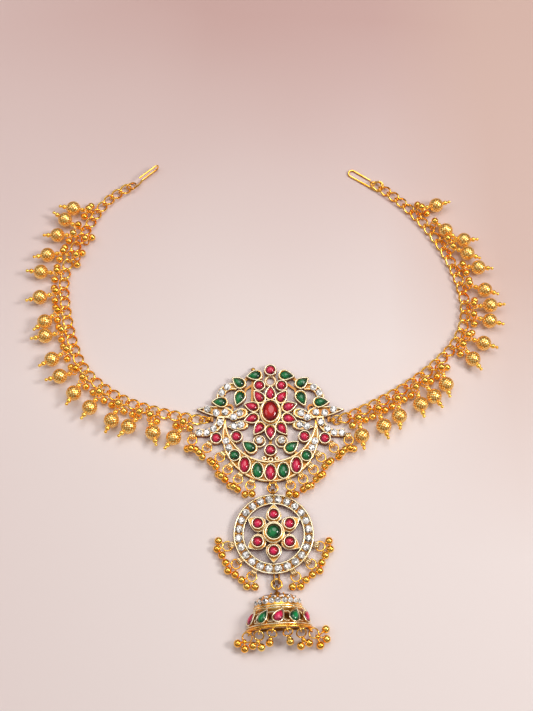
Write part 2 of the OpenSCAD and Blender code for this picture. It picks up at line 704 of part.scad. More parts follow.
// A ring that leans about the chain, through the eyelet and the first link
module joining_ring(side) {
    translate([side * (joining_eyelet[0] + joining_r - joining_shift), joining_eyelet[1], joining_z])
        rotate([side * joining_lean, 0, 0]) wire_ring(joining_r, small_wire);
}
module left_joining_ring() {
    color(gold) joining_ring(-1);
}
module right_joining_ring() {
    color(gold) joining_ring(1);
}
module medallion_ring() {
    color(gold) translate(plan(upper_ring, eyelet_z)) wire_ring(upper_ring_r, upper_ring_wire);
}
module bell_ring() {
    color(gold) translate(plan(lower_ring, eyelet_z)) wire_ring(lower_ring_r, lower_ring_wire);
}

module left_chain() {
    color(gold) chain(left_route, left_heads, left_links);
}
module right_chain() {
    color(gold) chain(right_route, right_heads, right_links);
}

// A ring on the outer wire of a link, and the drop that hangs in the ring
function ring_heading(heads, row, out) = heads[row[0]] + 90 * out + row[1];
function ring_place(points, heads, row, out) =
    points[row[0]] + polar(link_wide / 2, heads[row[0]] + 90 * out)
    + polar(ring_off, ring_heading(heads, row, out));
function has(letters, letter) = len(search(letter, letters)) > 0;
module rings_on_links(points, heads, rows, out) {
    for (row = rows) translate(plan(ring_place(points, heads, row, out), ring_z))
        rotate(ring_heading(heads, row, out)) {
        rotate([90 - ring_tilt, 0, 0]) wire_ring(ring_r, ring_wire);
        for (b = ball_places) if (has(row[3], b[0])) {
            ball = [b[1], b[2], b[3] - ring_z];
            neck = [ring_r * cos(b[4]), ring_r * sin(b[4]) * sin(ring_tilt), ring_r * sin(b[4]) * cos(ring_tilt)];
            translate(ball) sphere(ball_r);
            rod(neck, ball, neck_r);
        }
    }
}
module drops(points, heads, rows, out) {
    lift = asin((bead_z - ring_z) / bead_at);
    for (row = rows) {
        eye = ring_place(points, heads, row, out) + polar(ring_r, ring_heading(heads, row, out));
        translate(plan(eye, ring_z)) rotate([0, -lift, row[2]]) {
            rotate(90) wire_ring(eye_r, eye_wire);
            translate([spacer_at[0], 0, 0]) rotate([0, 90, 0]) cylinder(d = pin_d, h = tip_at - spacer_at[0]);
            translate([bead_at, 0, 0]) rotate(90) sphere(d = bead_d, $fn = 48);
            for (x = spacer_at) translate([x, 0, 0]) rotate(90) sphere(d = spacer_d);
            translate([tip_at, 0, 0]) rotate(90) sphere(d = tip_d);
        }
    }
}
module left_rings() {
    color(gold) {
        rings_on_links(left_route, left_heads, left_rows, 1);
        rings_on_links(left_route, left_heads, inner_rows, -1);
    }
}
module right_rings() {
    color(gold) rings_on_links(right_route, right_heads, right_rows, -1);
}
module left_drops() {
    color(gold) drops(left_route, left_heads, left_rows, 1);
}
module right_drops() {
    color(gold) drops(right_route, right_heads, right_rows, -1);
}

// A wire hook, one bent wire: an eye that is almost closed, a long side, and a bend that comes back
hook_lift = 0.15;
hook_bite = 1.56;
hook_lean = 22;
hook_back = 4.6;
hook_open = -20;
tip_share = 0.75;
hook_turns = [9, 6];
hook_low = hook_wire + hook_lift - chain_z;
hook_sides = 8;
eye_steps = 16;
bend_steps = 8;
function leaned(p, a) = [p[0], p[1] * cos(a) - p[2] * sin(a), p[1] * sin(a) + p[2] * cos(a)];
// The eye starts beside the long side and ends under it: side 1 puts the long side on the right, -1 on the left
function eye_path(side) = [for (k = [0:eye_steps])
    let (a = side * (hook_open + (270 - hook_open) * k / eye_steps))
    leaned(plan(polar(hook_eye_r, a), 0), -hook_lean)];
bend_path = [for (k = [0:bend_steps]) let (a = -90 + 180 * k / bend_steps)
    [hook_l + hook_bend * cos(a), hook_bend * sin(a)]];
tip_path = [[hook_back, tip_share * hook_bend]];
flat_path = concat(eye_path(-1), [for (p = concat(bend_path, tip_path)) [p[0], -p[1], hook_low]]);
upright_path = concat(eye_path(1), [[3, -1.5, 0.1], [5.6, -0.25, hook_low]],
    [for (p = concat(bend_path, tip_path)) [p[0], 0, p[1] + hook_bend + hook_low]]);

// Directions along a path, and a direction across it that turns as little as it can
function ways(path) = [for (i = [0:len(path) - 1]) unit(path[min(i + 1, len(path) - 1)] - path[max(i - 1, 0)])];
function across(t, first) = [for (i = 0, s = first; i < len(t);
    s = i + 1 < len(t) ? unit(s - (s * t[i + 1]) * t[i + 1]) : s, i = i + 1) s];
module bent_wire(path, r, sides) {
    t = ways(path);
    s = across(t, [0, 0, 1]);
    polyhedron(
        points = [for (i = [0:len(path) - 1]) for (k = [0:sides - 1]) let (a = 360 * k / sides)
            path[i] + r * (cos(a) * s[i] + sin(a) * cross(t[i], s[i]))],
        faces = stack_faces(len(path), sides, 0));
}
module hook(points, heads, count, path, turn) {
    last = count - 1;
    reach = link_long / 2 - hook_bite + hook_eye_r;
    translate(plan(points[last] + polar(reach, heads[last]), chain_z)) rotate(heads[last] + turn)
        bent_wire(path, hook_wire, hook_sides);
}
module left_hook() {
    color(gold) hook(left_route, left_heads, left_links, upright_path, hook_turns[0]);
}
module right_hook() {
    color(gold) hook(right_route, right_heads, right_links, flat_path, hook_turns[1]);
}

pendant_plate();
centre_ruby();
petal_rubies();
pendant_rubies();
pendant_emeralds();
medallion_plate();
medallion_rubies();
medallion_emerald();
medallion_crystals();
bell();
bell_stones_red();
bell_stones_green();
left_chain();
right_chain();
left_rings();
right_rings();
left_drops();
right_drops();
pendant_dangles();
medallion_dangles();
bell_dangles();
left_joining_ring();
right_joining_ring();
medallion_ring();
bell_ring();
left_hook();
right_hook();
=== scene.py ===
import bpy
import numpy as np
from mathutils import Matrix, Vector


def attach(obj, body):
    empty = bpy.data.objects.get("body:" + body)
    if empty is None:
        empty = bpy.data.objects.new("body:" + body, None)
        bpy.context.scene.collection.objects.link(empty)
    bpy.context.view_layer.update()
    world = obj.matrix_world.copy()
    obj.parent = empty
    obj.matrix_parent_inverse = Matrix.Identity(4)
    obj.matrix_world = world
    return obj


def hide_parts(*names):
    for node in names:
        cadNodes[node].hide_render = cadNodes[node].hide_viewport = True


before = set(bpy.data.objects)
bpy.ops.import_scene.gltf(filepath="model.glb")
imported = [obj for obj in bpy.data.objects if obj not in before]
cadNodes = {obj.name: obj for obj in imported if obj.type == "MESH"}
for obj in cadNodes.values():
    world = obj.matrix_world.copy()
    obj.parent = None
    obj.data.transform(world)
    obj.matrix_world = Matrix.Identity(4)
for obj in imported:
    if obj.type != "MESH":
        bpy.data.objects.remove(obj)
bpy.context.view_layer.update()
mm = 0.001
print("frame loaded,", len(cadNodes), "nodes")


# a point in the plan at radius r and an angle in degrees
def polar(r, degrees):
    a = np.radians(degrees)
    return r * np.array([np.cos(a), np.sin(a)])


# a point of the plan at a height
def plan(p, z):
    return np.array([*p, z], float)


# n angles round a circle, in radians
def circle(n):
    return np.linspace(0, 2 * np.pi, n, endpoint=False)


# columns set side by side as rows; a single number fills its column
def rows(*columns):
    return np.stack(np.broadcast_arrays(*columns), -1)


# rows of vectors made one long
def unit(vectors):
    return vectors / np.linalg.norm(vectors, axis=1, keepdims=True)


# 3 by 3 matrix that turns about one axis
def turnX(degrees):
    c, s = polar(1, degrees)
    return np.array([[1, 0, 0], [0, c, -s], [0, s, c]])


def turnY(degrees):
    c, s = polar(1, degrees)
    return np.array([[c, 0, s], [0, 1, 0], [-s, 0, c]])


def turnZ(degrees):
    c, s = polar(1, degrees)
    return np.array([[c, -s, 0], [s, c, 0], [0, 0, 1]])


# shader maths
class Wire:
    # one socket; the operators add Math nodes to its tree
    def __init__(self, tree, socket):
        self.tree = tree
        self.socket = socket

    def maths(self, operation, first, second=0.5, clamp=False):
        made = self.tree.nodes.new("ShaderNodeMath")
        made.operation, made.use_clamp = operation, clamp
        connect(self.tree, made.inputs[0], first)
        connect(self.tree, made.inputs[1], second)
        return Wire(self.tree, made.outputs[0])

    def __add__(self, other):
        return self.maths("ADD", self, other)

    def __radd__(self, other):
        return self.maths("ADD", other, self)

    def __sub__(self, other):
        return self.maths("SUBTRACT", self, other)

    def __rsub__(self, other):
        return self.maths("SUBTRACT", other, self)

    def __mul__(self, other):
        return self.maths("MULTIPLY", self, other)

    def __rmul__(self, other):
        return self.maths("MULTIPLY", other, self)

    def __pow__(self, other):
        return self.maths("POWER", self, other)

    def __rpow__(self, other):
        return self.maths("POWER", other, self)

    def held(self):
        return self.maths("ADD", self, 0.0, clamp=True)  # kept between 0 and 1

    def sine(self):
        return self.maths("SINE", self)

    def size(self):
        return self.maths("ABSOLUTE", self)

    def angleWith(self, other):
        return self.maths("ARCTAN2", self, other)


def connect(tree, entry, value):
    if isinstance(value, Wire):
        tree.links.new(value.socket, entry)
    else:
        entry.default_value = value


class Nodes:
    # the nodes of one material or of the world
    def __init__(self, tree):
        self.tree = tree

    # any node: its type, its settings, then its sockets by name or number
    def node(self, kind, settings=None, sockets=None, out=0):
        made = self.tree.nodes.new("ShaderNode" + kind)
        for label, value in (settings or {}).items():
            setattr(made, label, value)
        for label, value in (sockets or {}).items():
            connect(self.tree, made.inputs[label], value)
        wires = [Wire(self.tree, socket) for socket in made.outputs]
        return wires if out is None else wires[out]

    def mix(self, factor, first, second):
        settings = {"data_type": "RGBA", "clamp_factor": True}
        return self.node("Mix", settings, {0: factor, 6: first, 7: second}, out=2)

    def axes(self, vector):
        return self.node("SeparateXYZ", sockets={0: vector}, out=None)

    def place(self):
        return self.node("TexCoord", out=3)  # Object coordinates, in metres

    def attribute(self, name, out=1):
        return self.node("Attribute", {"attribute_name": name}, out=out)

    def noise(self, where, scale, detail=3.0):
        sockets = {"Vector": where, "Scale": scale, "Detail": detail, "Roughness": 0.55}
        return self.node("TexNoise", {}, sockets)


class Finish(Nodes):
    # a material; uniform values go on the shader's own sockets
    def __init__(self, name, uniform):
        self.material = bpy.data.materials.new(name)
        self.material.use_nodes = True
        super().__init__(self.material.node_tree)
        self.shader = self.tree.nodes["Principled BSDF"]
        for label, value in uniform.items():
            self.shader.inputs[label].default_value = value

    def feed(self, label, value):
        connect(self.tree, self.shader.inputs[label], value)

    # the same colour, reflected and given off faintly as a painted glow
    def colour(self, value):
        self.feed("Base Color", value)
        self.feed("Emission Color", value)

    def bump(self, height, strength, distance):
        sockets = {"Height": height, "Strength": strength, "Distance": distance}
        self.feed("Normal", self.node("Bump", {}, sockets))


# a colour given as it looks on screen, 0 to 255, made linear
def paint(r, g, b):
    v = np.array([r, g, b]) / 255
    v = np.where(v <= 0.04045, v / 12.92, ((v + 0.055) / 1.055) ** 2.4)
    return (*v.tolist(), 1.0)


# the gold's colours, noise scales per metre, and heights of dents in metres
goldLook = {
    "clouds": 300.0, "fine": 2100.0, "dent": 0.00012, "speck": 2600.0, "worn": 460.0, "cut": 0.0001,
    "bright": paint(255, 216, 108), "warm": paint(255, 172, 42), "deep": paint(200, 82, 6),
    # shade is the colour of the painted shade in hollows and on walls
    "shade": paint(112, 32, 2), "pale": paint(255, 246, 216), "cream": paint(255, 240, 168),
    # rim and pale are paler golds, a painted highlight on the raised rims
    "rim": paint(255, 236, 184),
}
# painted edge shade, body colour and painted glow of each kind of stone
stoneLook = {
    "cloud": 480.0, "streak": 1500.0,
    "ruby": {"deep": paint(84, 0, 18), "body": paint(200, 0, 46), "glow": paint(244, 54, 116)},
    "heart": {"deep": paint(76, 0, 4), "body": paint(176, 0, 6), "glow": paint(232, 36, 26)},
    "emerald": {"deep": paint(0, 22, 10), "body": paint(0, 84, 40), "glow": paint(30, 168, 92)},
}
crystalLook = {"bright": paint(252, 252, 250), "grey": paint(104, 98, 90), "speck": 1200.0}


# sizes of the half bell; all sizes are in millimetres
bellSize = {
    "at": (2.5, -73.0), "sink": 2.8, "turn": 3.5,
    "crown": 3.4, "ridge": 9.5, "rim": 13.1, "dome": 5.0, "length": 14.0,
    "pear": (5.0, 3.3), "pearAt": 9.6, "pearSeat": 0.14, "pearRise": 1.7, "pearRim": 0.9, "tip": -32.0,
    "red": (-60, 0, 60), "green": (-30, 30),
    # share of the quarter turn from crown to ridge, step in degrees, last angle
    "pave": [(17, 27.0, 40.5), (41, 22.0, 55.0), (68, 15.5, 62.0)],
    "paveR": 1.2, "paveRise": 1.1, "paveSink": 0.3, "claw": 0.34, "clawOut": 0.15,
    # radius, distance along the axis, radius of the wire
    "wires": [(9.62, 5.2, 0.34), (9.9, 6.1, 0.3), (12.75, 12.4, 0.3), (13.05, 13.5, 0.42)],
    "windows": (-45, -15, 15, 45), "window": (3.9, 2.7), "windowZ": 0.05, "thin": 0.24,
    "stem": (2.3, 4.5), "stemZ": 0.8, "stemFall": 0.6, "stemBend": 0.6, "band": (6.3, 12.3),
    # angle round the bell, heading, slope down, length, number of balls
    "rimRows": [
        (-60, 234, 10, 7.2, 2), (-36, 260, 38, 8, 2), (-12, 254, 54, 8.6, 1),
        (12, 288, 56, 8.6, 1), (36, 290, 40, 8.6, 2), (63, 319, 10, 7.2, 3)],
    "rimBalls": [[(0, 0)], [(0, -1.65), (0, 1.65)], [(0.9, -1.7), (1.2, 1.7), (-1.4, 4.2)]],
    "rimShift": 0.1, "rimWire": 0.3, "rimIn": 0.1, "hang": 0.75, "middle": 0.95, "middleBack": 2.0,
}
bellSlope = (bellSize["rim"] - bellSize["ridge"]) / (bellSize["length"] - bellSize["dome"])


# each finish is a material and its slot
# plain polished gold: warm plating that is unevenly rich, with fine scratches and soft dents, and painted
# shade in the hollows where a mask for them is given
def goldFinish(name, roughness, dents, main="warm", light="bright", shadedHollow=None):
    look = goldLook
    # a faint painted glow in the gold's own colour
    uniform = {"Metallic": 1.0, "Coat Weight": 0.5, "Coat Roughness": 0.03, "Emission Strength": 0.05}
    gold = Finish(name, uniform)
    where = gold.place()
    clouds = gold.noise(where, look["clouds"])
    fine = gold.noise(where, look["fine"], 2.0)
    colour = gold.mix(((clouds - 0.36) * 3.4).held(), look[main], look[light])
    colour = gold.mix(((0.42 - fine) * 2.6).held() * 0.5, colour, look["deep"])
    rough = roughness + (fine - 0.5) * 0.2 + (clouds - 0.5) * 0.06
    if shadedHollow:
        # painted shade in the hollows, and on walls that face away from up
        hollowShade = shadedHollow(*gold.axes(where))
        upward = gold.axes(gold.node("NewGeometry", out=1))[2]
        wall = ((0.62 - upward) * 1.6).held()
        colour = gold.mix(hollowShade * 0.7 + wall * 0.4, colour, look["shade"])
        rough = rough + hollowShade * 0.16
    gold.colour(colour)
    gold.feed("Roughness", rough)
    gold.bump(fine * 0.35 + clouds, dents, look["dent"])
    return gold.material, "gold"


# the large beads: a fine net of crossed cuts round each bead, with painted shade in the cuts, a painted
# highlight on the bands between them, polished ends, and a faint painted glow
def beadFinish(name):
    look = goldLook
    uniform = {"Metallic": 1.0, "Coat Weight": 0.15, "Coat Roughness": 0.06, "Emission Strength": 0.13}
    gold = Finish(name, uniform)
    x, y, z = gold.axes(gold.attribute("local"))
    onBead = ((1.2 - (x * x + y * y + z * z)) * 9.0).held()
    where = gold.place()
    speck = gold.noise(where, look["speck"], 2.0)
    worn = gold.noise(where, look["worn"])
    around = y.angleWith(z) + (worn - 0.5) * 0.5
    cuts = ((around * 6.0 + x * 8.0).sine() * (around * 6.0 - x * 8.0).sine()).size()
    groove = ((0.36 - cuts) * 4.0).held() * onBead
    colour = gold.mix(((worn - 0.25) * 3.0).held(), look["warm"], look["bright"])
    # painted highlight on the raised bands between the cuts, then painted shade in the cuts
    colour = gold.mix(((cuts - 0.48) * 3.6).held() * onBead, colour, look["cream"])
    colour = gold.mix(groove * 0.75, colour, look["deep"])
    gold.colour(colour)
    gold.feed("Roughness", 0.15 + onBead * 0.1 + groove * 0.15 + (speck - 0.5) * 0.2)
    gold.bump(cuts * onBead + speck * 0.2, 0.7, look["cut"])
    return gold.material, "gold"


# a domed stone over foil: painted shade at its edge, a painted glow from inside on the side away from the
# key light, and a faint painted glow all over
def stoneFinish(name, slot, look):
    stone = Finish(name, {
        "Coat Weight": 1.0, "Coat Roughness": 0.03, "Coat IOR": 1.58, "IOR": 1.5,
        "Emission Strength": 0.16, "Specular IOR Level": 0.1})
    x, y = stone.axes(stone.attribute("local"))[:2]
    leanX, leanY = stone.axes(stone.attribute("lean"))[:2]
    edge = ((x * x + y * y) ** 0.5).held()
    cloud = stone.noise(stone.place(), stoneLook["cloud"], 4.0)
    streak = stone.noise(stone.place(), stoneLook["streak"])
    # painted glow on the side turned away from the key light; below it, painted shade towards the edge
    glow = ((0.3 - leanX * 0.9 - leanY * 0.4) * (1.15 - edge) + (cloud - 0.5) * 1.2).held()
    colour = stone.mix(((edge - 0.4) * 2.1 + (0.5 - cloud) * 1.2).held(), look["body"], look["deep"])
    colour = stone.mix(glow * 0.8, colour, look["glow"])
    stone.colour(colour)
    stone.feed("Roughness", 0.12 + (streak - 0.5) * 0.12)
    return stone.material, slot


# a clear cut stone: each facet reflects on its own and is painted bright or grey at random as a painted
# reflection, with a faint painted glow
def crystalFinish(name):
    clear = Finish(name, {
        "Metallic": 0.15, "Coat Weight": 0.5, "Coat Roughness": 0.01, "IOR": 1.6, "Emission Strength": 0.1})
    spark = clear.attribute("spark", 2)
    speck = clear.noise(clear.place(), crystalLook["speck"], 2.0)
    shade = ((spark - 0.24) * 2.6 + (speck - 0.5) * 0.6).held()
    colour = clear.mix(shade, crystalLook["grey"], crystalLook["bright"])
    clear.colour(colour)
    clear.feed("Roughness", 0.04 + spark * 0.08)
    return clear.material, "crystal"


# painted shade goes in the hollows of a plate, which lie below a level
def lowerThan(level):
    return lambda x, y, z: ((level * mm - z) * (2.2 / mm)).held()


# where the bell gets painted shade: its inside, nearer to the axis than its wall, and the band between its
# wires
def insideBell(x, y, z):
    s = bellSize
    c, w = polar(1, s["turn"]).tolist()
    x, y, z = x - s["at"][0] * mm, y - s["at"][1] * mm, z + s["sink"] * mm
    across, along = x * c + y * w, x * w - y * c
    wall = s["ridge"] * mm + (along - s["dome"] * mm) * bellSlope
    inside = ((wall - 0.5 * mm - (across * across + z * z) ** 0.5) * (2.5 / mm)).held()
    above, below = s["band"][0] * mm, s["band"][1] * mm
    band = ((along - above) * (2.0 / mm)).held() * ((below - along) * (2.0 / mm)).held()
    return (inside + band).held()


plateGold = goldFinish("pendantGold", 0.26, 0.25, shadedHollow=lowerThan(1.9))
flowerGold = goldFinish("medallionGold", 0.26, 0.25, shadedHollow=lowerThan(3.5))
bellGold = goldFinish("bellGold", 0.26, 0.3, shadedHollow=insideBell)
# rims, rails, wires and ribs in a paler gold: a painted highlight where raised wires catch the light
litRimGold = goldFinish("litRimGold", 0.26, 0.12, main="rim", light="pale")
chainGold = goldFinish("chainGold", 0.17, 0.16)
ballGold = goldFinish("ballGold", 0.15, 0.16)
beadGold = beadFinish("beadGold")
rubyGlass = stoneFinish("rubyGlass", "ruby", stoneLook["ruby"])
heartGlass = stoneFinish("heartRubyGlass", "ruby", stoneLook["heart"])
emeraldGlass = stoneFinish("emeraldGlass", "emerald", stoneLook["emerald"])
clearGlass = crystalFinish("clearGlass")
print("materials made")


# a part with its faces outwards, so that the sum of a . (b x c), six times its volume, isn't negative;
# local is each point over the part's size, and lean the same but turned with each copy
def solid(points, quads, tris, size):
    a, b, c, d = (points[quads[:, k]] for k in range(4))
    total = np.einsum("ij,ij->", a, np.cross(b, c)) + np.einsum("ij,ij->", a, np.cross(c, d))
    a, b, c = (points[tris[:, k]] for k in range(3))
    total += np.einsum("ij,ij->", a, np.cross(b, c))
    if total < 0:
        quads, tris = quads[:, ::-1], tris[:, ::-1]
    local = points / np.array(size, float)
    return {"points": points, "quads": quads, "tris": tris, "local": local, "lean": local}


# rings of points joined in turn; a pole closes each end, or without poles the last joins the first
def skin(rings, poles=None, size=(1, 1, 1)):
    n, m = rings.shape[:2]
    i = np.arange(n - 1 if poles else n)[:, None]
    j = np.arange(m)
    after = (i + 1) % n
    beside = (j + 1) % m
    quads = rows(i * m + j, i * m + beside, after * m + beside, after * m + j).reshape(-1, 4)
    points = rings.reshape(-1, 3)
    tris = np.empty((0, 3), int)
    if poles:
        last = (n - 1) * m
        first, final = rows(n * m, beside, j), rows(n * m + 1, last + j, last + beside)
        points, tris = np.concatenate([points, poles]), np.concatenate([first, final])
    return solid(points, quads, tris, size)


# copies of one part, each turned by its matrix and moved
def copies(part, turns, moves):
    turns, moves = np.array(turns, float), np.array(moves, float)
    n, k = len(part["points"]), len(moves)
    step = (np.arange(k) * n)[:, None, None]
    return {
        "points": (np.einsum("kij,nj->kni", turns, part["points"]) + moves[:, None, :]).reshape(-1, 3),
        "quads": (part["quads"][None] + step).reshape(-1, 4),
        "tris": (part["tris"][None] + step).reshape(-1, 3),
        "local": np.tile(part["local"], (k, 1)),
        "lean": np.einsum("kij,nj->kni", turns, part["local"]).reshape(-1, 3),
    }


def joined(parts):
    parts = list(parts)
    shift = np.cumsum([0] + [len(p["points"]) for p in parts[:-1]])
    out = {key: np.concatenate([p[key] for p in parts]) for key in ("points", "local", "lean")}
    for key in ("quads", "tris"):
        out[key] = np.concatenate([p[key] + s for p, s in zip(parts, shift)])
    return out


still = np.eye(3)


def moved(part, move, turn=still):
    return copies(part, [turn], [move])


def spread(part, places):
    return copies(part, [still] * len(places), places)


def show(name, data):
    made = bpy.data.objects.new(name, data)
    bpy.context.scene.collection.objects.link(made)
    return made


# a mesh on the one body from a part in millimetres; each face of a cut stone gets its own spark, a random
# value that paints it bright or grey as a painted reflection
def addPiece(name, part, finish, *stands, cut=False):
    material, slot = finish
    quads, tris = part["quads"], part["tris"]
    mesh = bpy.data.meshes.new(name)
    mesh.vertices.add(len(part["points"]))
    mesh.vertices.foreach_set("co", (part["points"] * mm).astype(np.float32).ravel())
    corners = np.concatenate([quads.ravel(), tris.ravel()]).astype(np.int32)
    totals = np.concatenate([np.full(len(quads), 4), np.full(len(tris), 3)]).astype(np.int32)
    mesh.loops.add(len(corners))
    mesh.loops.foreach_set("vertex_index", corners)
    mesh.polygons.add(len(totals))
    starts = np.concatenate([[0], np.cumsum(totals)[:-1]])
    mesh.polygons.foreach_set("loop_start", starts.astype(np.int32))
    mesh.polygons.foreach_set("loop_total", totals)
    mesh.polygons.foreach_set("use_smooth", np.full(len(totals), not cut))
    mesh.update(calc_edges=True)
    for label in ("local", "lean"):
        values = mesh.attributes.new(label, "FLOAT_VECTOR", "POINT")
        values.data.foreach_set("vector", part[label].astype(np.float32).ravel())
    if cut:
        shades = np.random.default_rng(7).random(len(totals))
        mesh.attributes.new("spark", "FLOAT", "FACE").data.foreach_set("value", shades.astype(np.float32))
    mesh.materials.append(material)
    piece = show(name, mesh)
    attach(piece, "root")
    if stands:
        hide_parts(*stands)


# a ring: a circle of the wire's radius carried round a circle of radius r
def wireRing(r, wire, around=32, sides=12):
    u, v = circle(around)[:, None], circle(sides)
    flat = r + wire * np.cos(v)
    return skin(rows(flat * np.cos(u), flat * np.sin(u), wire * np.sin(v)), size=(r, r, wire))


# a profile of distance and radius, spun about X; its ends lie on the axis
def spun(profile, sides, size, centre=0.0):
    x, r = profile[1:-1, 0, None], profile[1:-1, 1, None]
    v = circle(sides)
    part = skin(rows(x, r * np.cos(v), r * np.sin(v)), poles=[[profile[0, 0], 0, 0], [profile[-1, 0], 0, 0]])
    part["local"] = (part["points"] - [centre, 0, 0]) / np.array(size, float)
    part["lean"] = part["local"]
    return part


# a ball: latitude circles of radius r sin(a) at r cos(a)
def ball(r, sides=20, steps=12):
    a = np.linspace(0, np.pi, steps + 1)
    return spun(rows(-r * np.cos(a), r * np.sin(a)), sides, (r, r, r))


def grain(r):
    return ball(r, 10, 6)


# a straight wire between two points
def rod(p, q, r, sides=10):
    v = q - p
    length = np.linalg.norm(v)
    x = v / length
    y = np.cross([0, 0, 1.0] if abs(x[2]) < 0.9 else [1.0, 0, 0], x)
    y /= np.linalg.norm(y)
    turn = np.stack([x, y, np.cross(x, y)], 1)
    profile = np.array([[0, 0], [0, r], [length, r], [length, 0]])
    return moved(spun(profile, sides, (r, r, r)), p, turn)


# circles of radius r carried along a path, each flat between its side and its top
def carried(path, side, top, r, sides):
    v = circle(sides)[None, :, None]
    return path[:, None] + r * (np.cos(v) * side[:, None] + np.sin(v) * top[:, None])


# a round wire along an open path, its circles upright
def bentRod(path, r, sides=8):
    along = unit(np.gradient(path, axis=0))
    side = unit(np.cross(along, [0, 0, 1.0]))
    return skin(carried(path, side, np.cross(side, along), r, sides), poles=[path[0], path[-1]])


# outlines, all from the same angles: an ellipse
ovalAngles = circle(40)


def oval(length, width, grown=0.0):
    t = ovalAngles
    return rows((length / 2 + grown) * np.cos(t), (width / 2 + grown) * np.sin(t))


# a pear: cos(t) long and sin(t) sin(t / 2) wide, with its tip on +X
def pear(length, width, grown=0.0):
    t = ovalAngles
    across = (width / 2 + grown) * np.sin(t) * np.sin(t / 2) / 0.77
    return rows((length / 2 + 1.2 * grown) * np.cos(t), across)


# a box with round corners: cos and sin drawn out towards 1
def boxed(length, width):
    t = ovalAngles + 0.01
    c, s = np.cos(t), np.sin(t)
    return rows(np.sign(c) * abs(c) ** 0.4 * length / 2, np.sign(s) * abs(s) ** 0.4 * width / 2)


# a rounded rim: an ellipse, wide by high, carried round a closed outline in the plan
def rim(outline, wide, high, z, sides=8):
    along = unit(np.roll(outline, -1, 0) - np.roll(outline, 1, 0))
    side = rows(along[:, 1], -along[:, 0])
    v = circle(sides)
    flat = outline[:, None] + wide * np.cos(v)[:, None] * side[:, None]
    return skin(rows(flat[..., 0], flat[..., 1], z + high * np.sin(v)))


# a cabochon: a short wall, then the outline shrinks as cos(a) while it rises as sin(a)
def cabochon(outline, rise, steps=12):
    a = np.linspace(0, np.pi / 2, steps + 1)[:-1]
    share = np.concatenate([[0.94, 1.0], np.cos(a) ** 0.9])
    height = rise * np.concatenate([[0.0, 0.08], 0.3 + 0.7 * np.sin(a)])
    rings = rows(*(outline.T[:, None] * share[:, None]), height[:, None])
    return skin(rings, poles=[[0, 0, 0], [0, 0, rise]], size=(*abs(outline).max(0), rise))


# a round cut stone: table, star, kite and girdle facets over a cone
def brilliant(r, rise, table=0.58):
    k8, k16 = np.arange(8), np.arange(16)

    def ring(radius, z, degrees):
        return rows(*polar(r * radius, degrees), z * rise)

    points = np.concatenate([
        ring(table, 1.0, k8 * 45.0), ring(0.82, 0.84, k8 * 45.0 + 22.5),
        ring(1.0, 0.6, k16 * 22.5), ring(1.0, 0.53, k16 * 22.5), [[0, 0, rise], [0, 0, 0]]])
    # where each ring starts after the table's own
    middle, girdle, under, top, tip = 8, 16, 32, 48, 49
    nextEight, nextSixteen = (k8 + 1) % 8, (k16 + 1) % 16
    tris = np.concatenate([
        rows(top, k8, nextEight),
        rows(k8, middle + k8, nextEight),
        rows(middle + k8, girdle + 2 * k8, girdle + 2 * k8 + 1),
        rows(middle + k8, girdle + 2 * k8 + 1, girdle + (2 * k8 + 2) % 16),
        rows(under + nextSixteen, under + k16, tip)])
    quads = np.concatenate([
        rows(k8, middle + (k8 - 1) % 8, girdle + 2 * k8, middle + k8),
        rows(girdle + k16, under + k16, under + nextSixteen, girdle + nextSixteen)])
    return solid(points, quads, tris, (r, r, rise))


# the two chains
chainSize = {
    "pitch": 4.5, "long": 5.7, "wide": 3.9, "wire": 0.45, "twist": 45.0, "z": 1.3,
    # middle of the first link, its heading, and how many links turn by how much each
    "left": ((-30.5, -2.6), 172.0, [(5, -2), (5, -4.5), (4, -7.5), (6, -2), (5, -6.5), (4, -0.5), (4, -8)]),
    "right": ((30.3, -2.15), 23.0, [(6, 1.5), (6, 2.5), (6, 8.5), (5, 3.5), (10, 3)]),
}


# middles and headings of the links: each link turns a little from the one before
def route(start, heading, turns):
    steps = np.concatenate([np.full(count, turn, float) for count, turn in turns])
    heads = heading + np.concatenate([[0.0], np.cumsum(steps)])
    middle = np.radians((heads[1:] + heads[:-1]) / 2)
    way = chainSize["pitch"] * rows(np.cos(middle), np.sin(middle))
    return np.array(start) + np.concatenate([[[0.0, 0.0]], np.cumsum(way, 0)]), heads


# a curb link: an oval path whose plane turns by twist * cos(t), with a round wire carried along it
def curbLink(around=44, sides=12):
    s, t = chainSize, circle(around)
    lean = np.radians(s["twist"]) * np.cos(t)
    half, side = s["long"] / 2, s["wide"] / 2
    path = rows(half * np.cos(t), side * np.sin(t) * np.cos(lean), side * np.sin(t) * np.sin(lean))
    along = unit(np.roll(path, -1, 0) - np.roll(path, 1, 0))
    across = unit(np.cross(along, rows(0, -np.sin(lean), np.cos(lean))))
    rings = carried(path, across, np.cross(across, along), s["wire"], sides)
    return skin(rings, size=(half, side, side))


routes = {side: route(*chainSize[side]) for side in ("left", "right")}
link = curbLink()
for side, (points, heads) in routes.items():
    links = copies(link, [turnZ(h) for h in heads], [plan(p, chainSize["z"]) for p in points])
    addPiece(side + "Chain", links, chainGold, side + "_chain")
print("chains made")


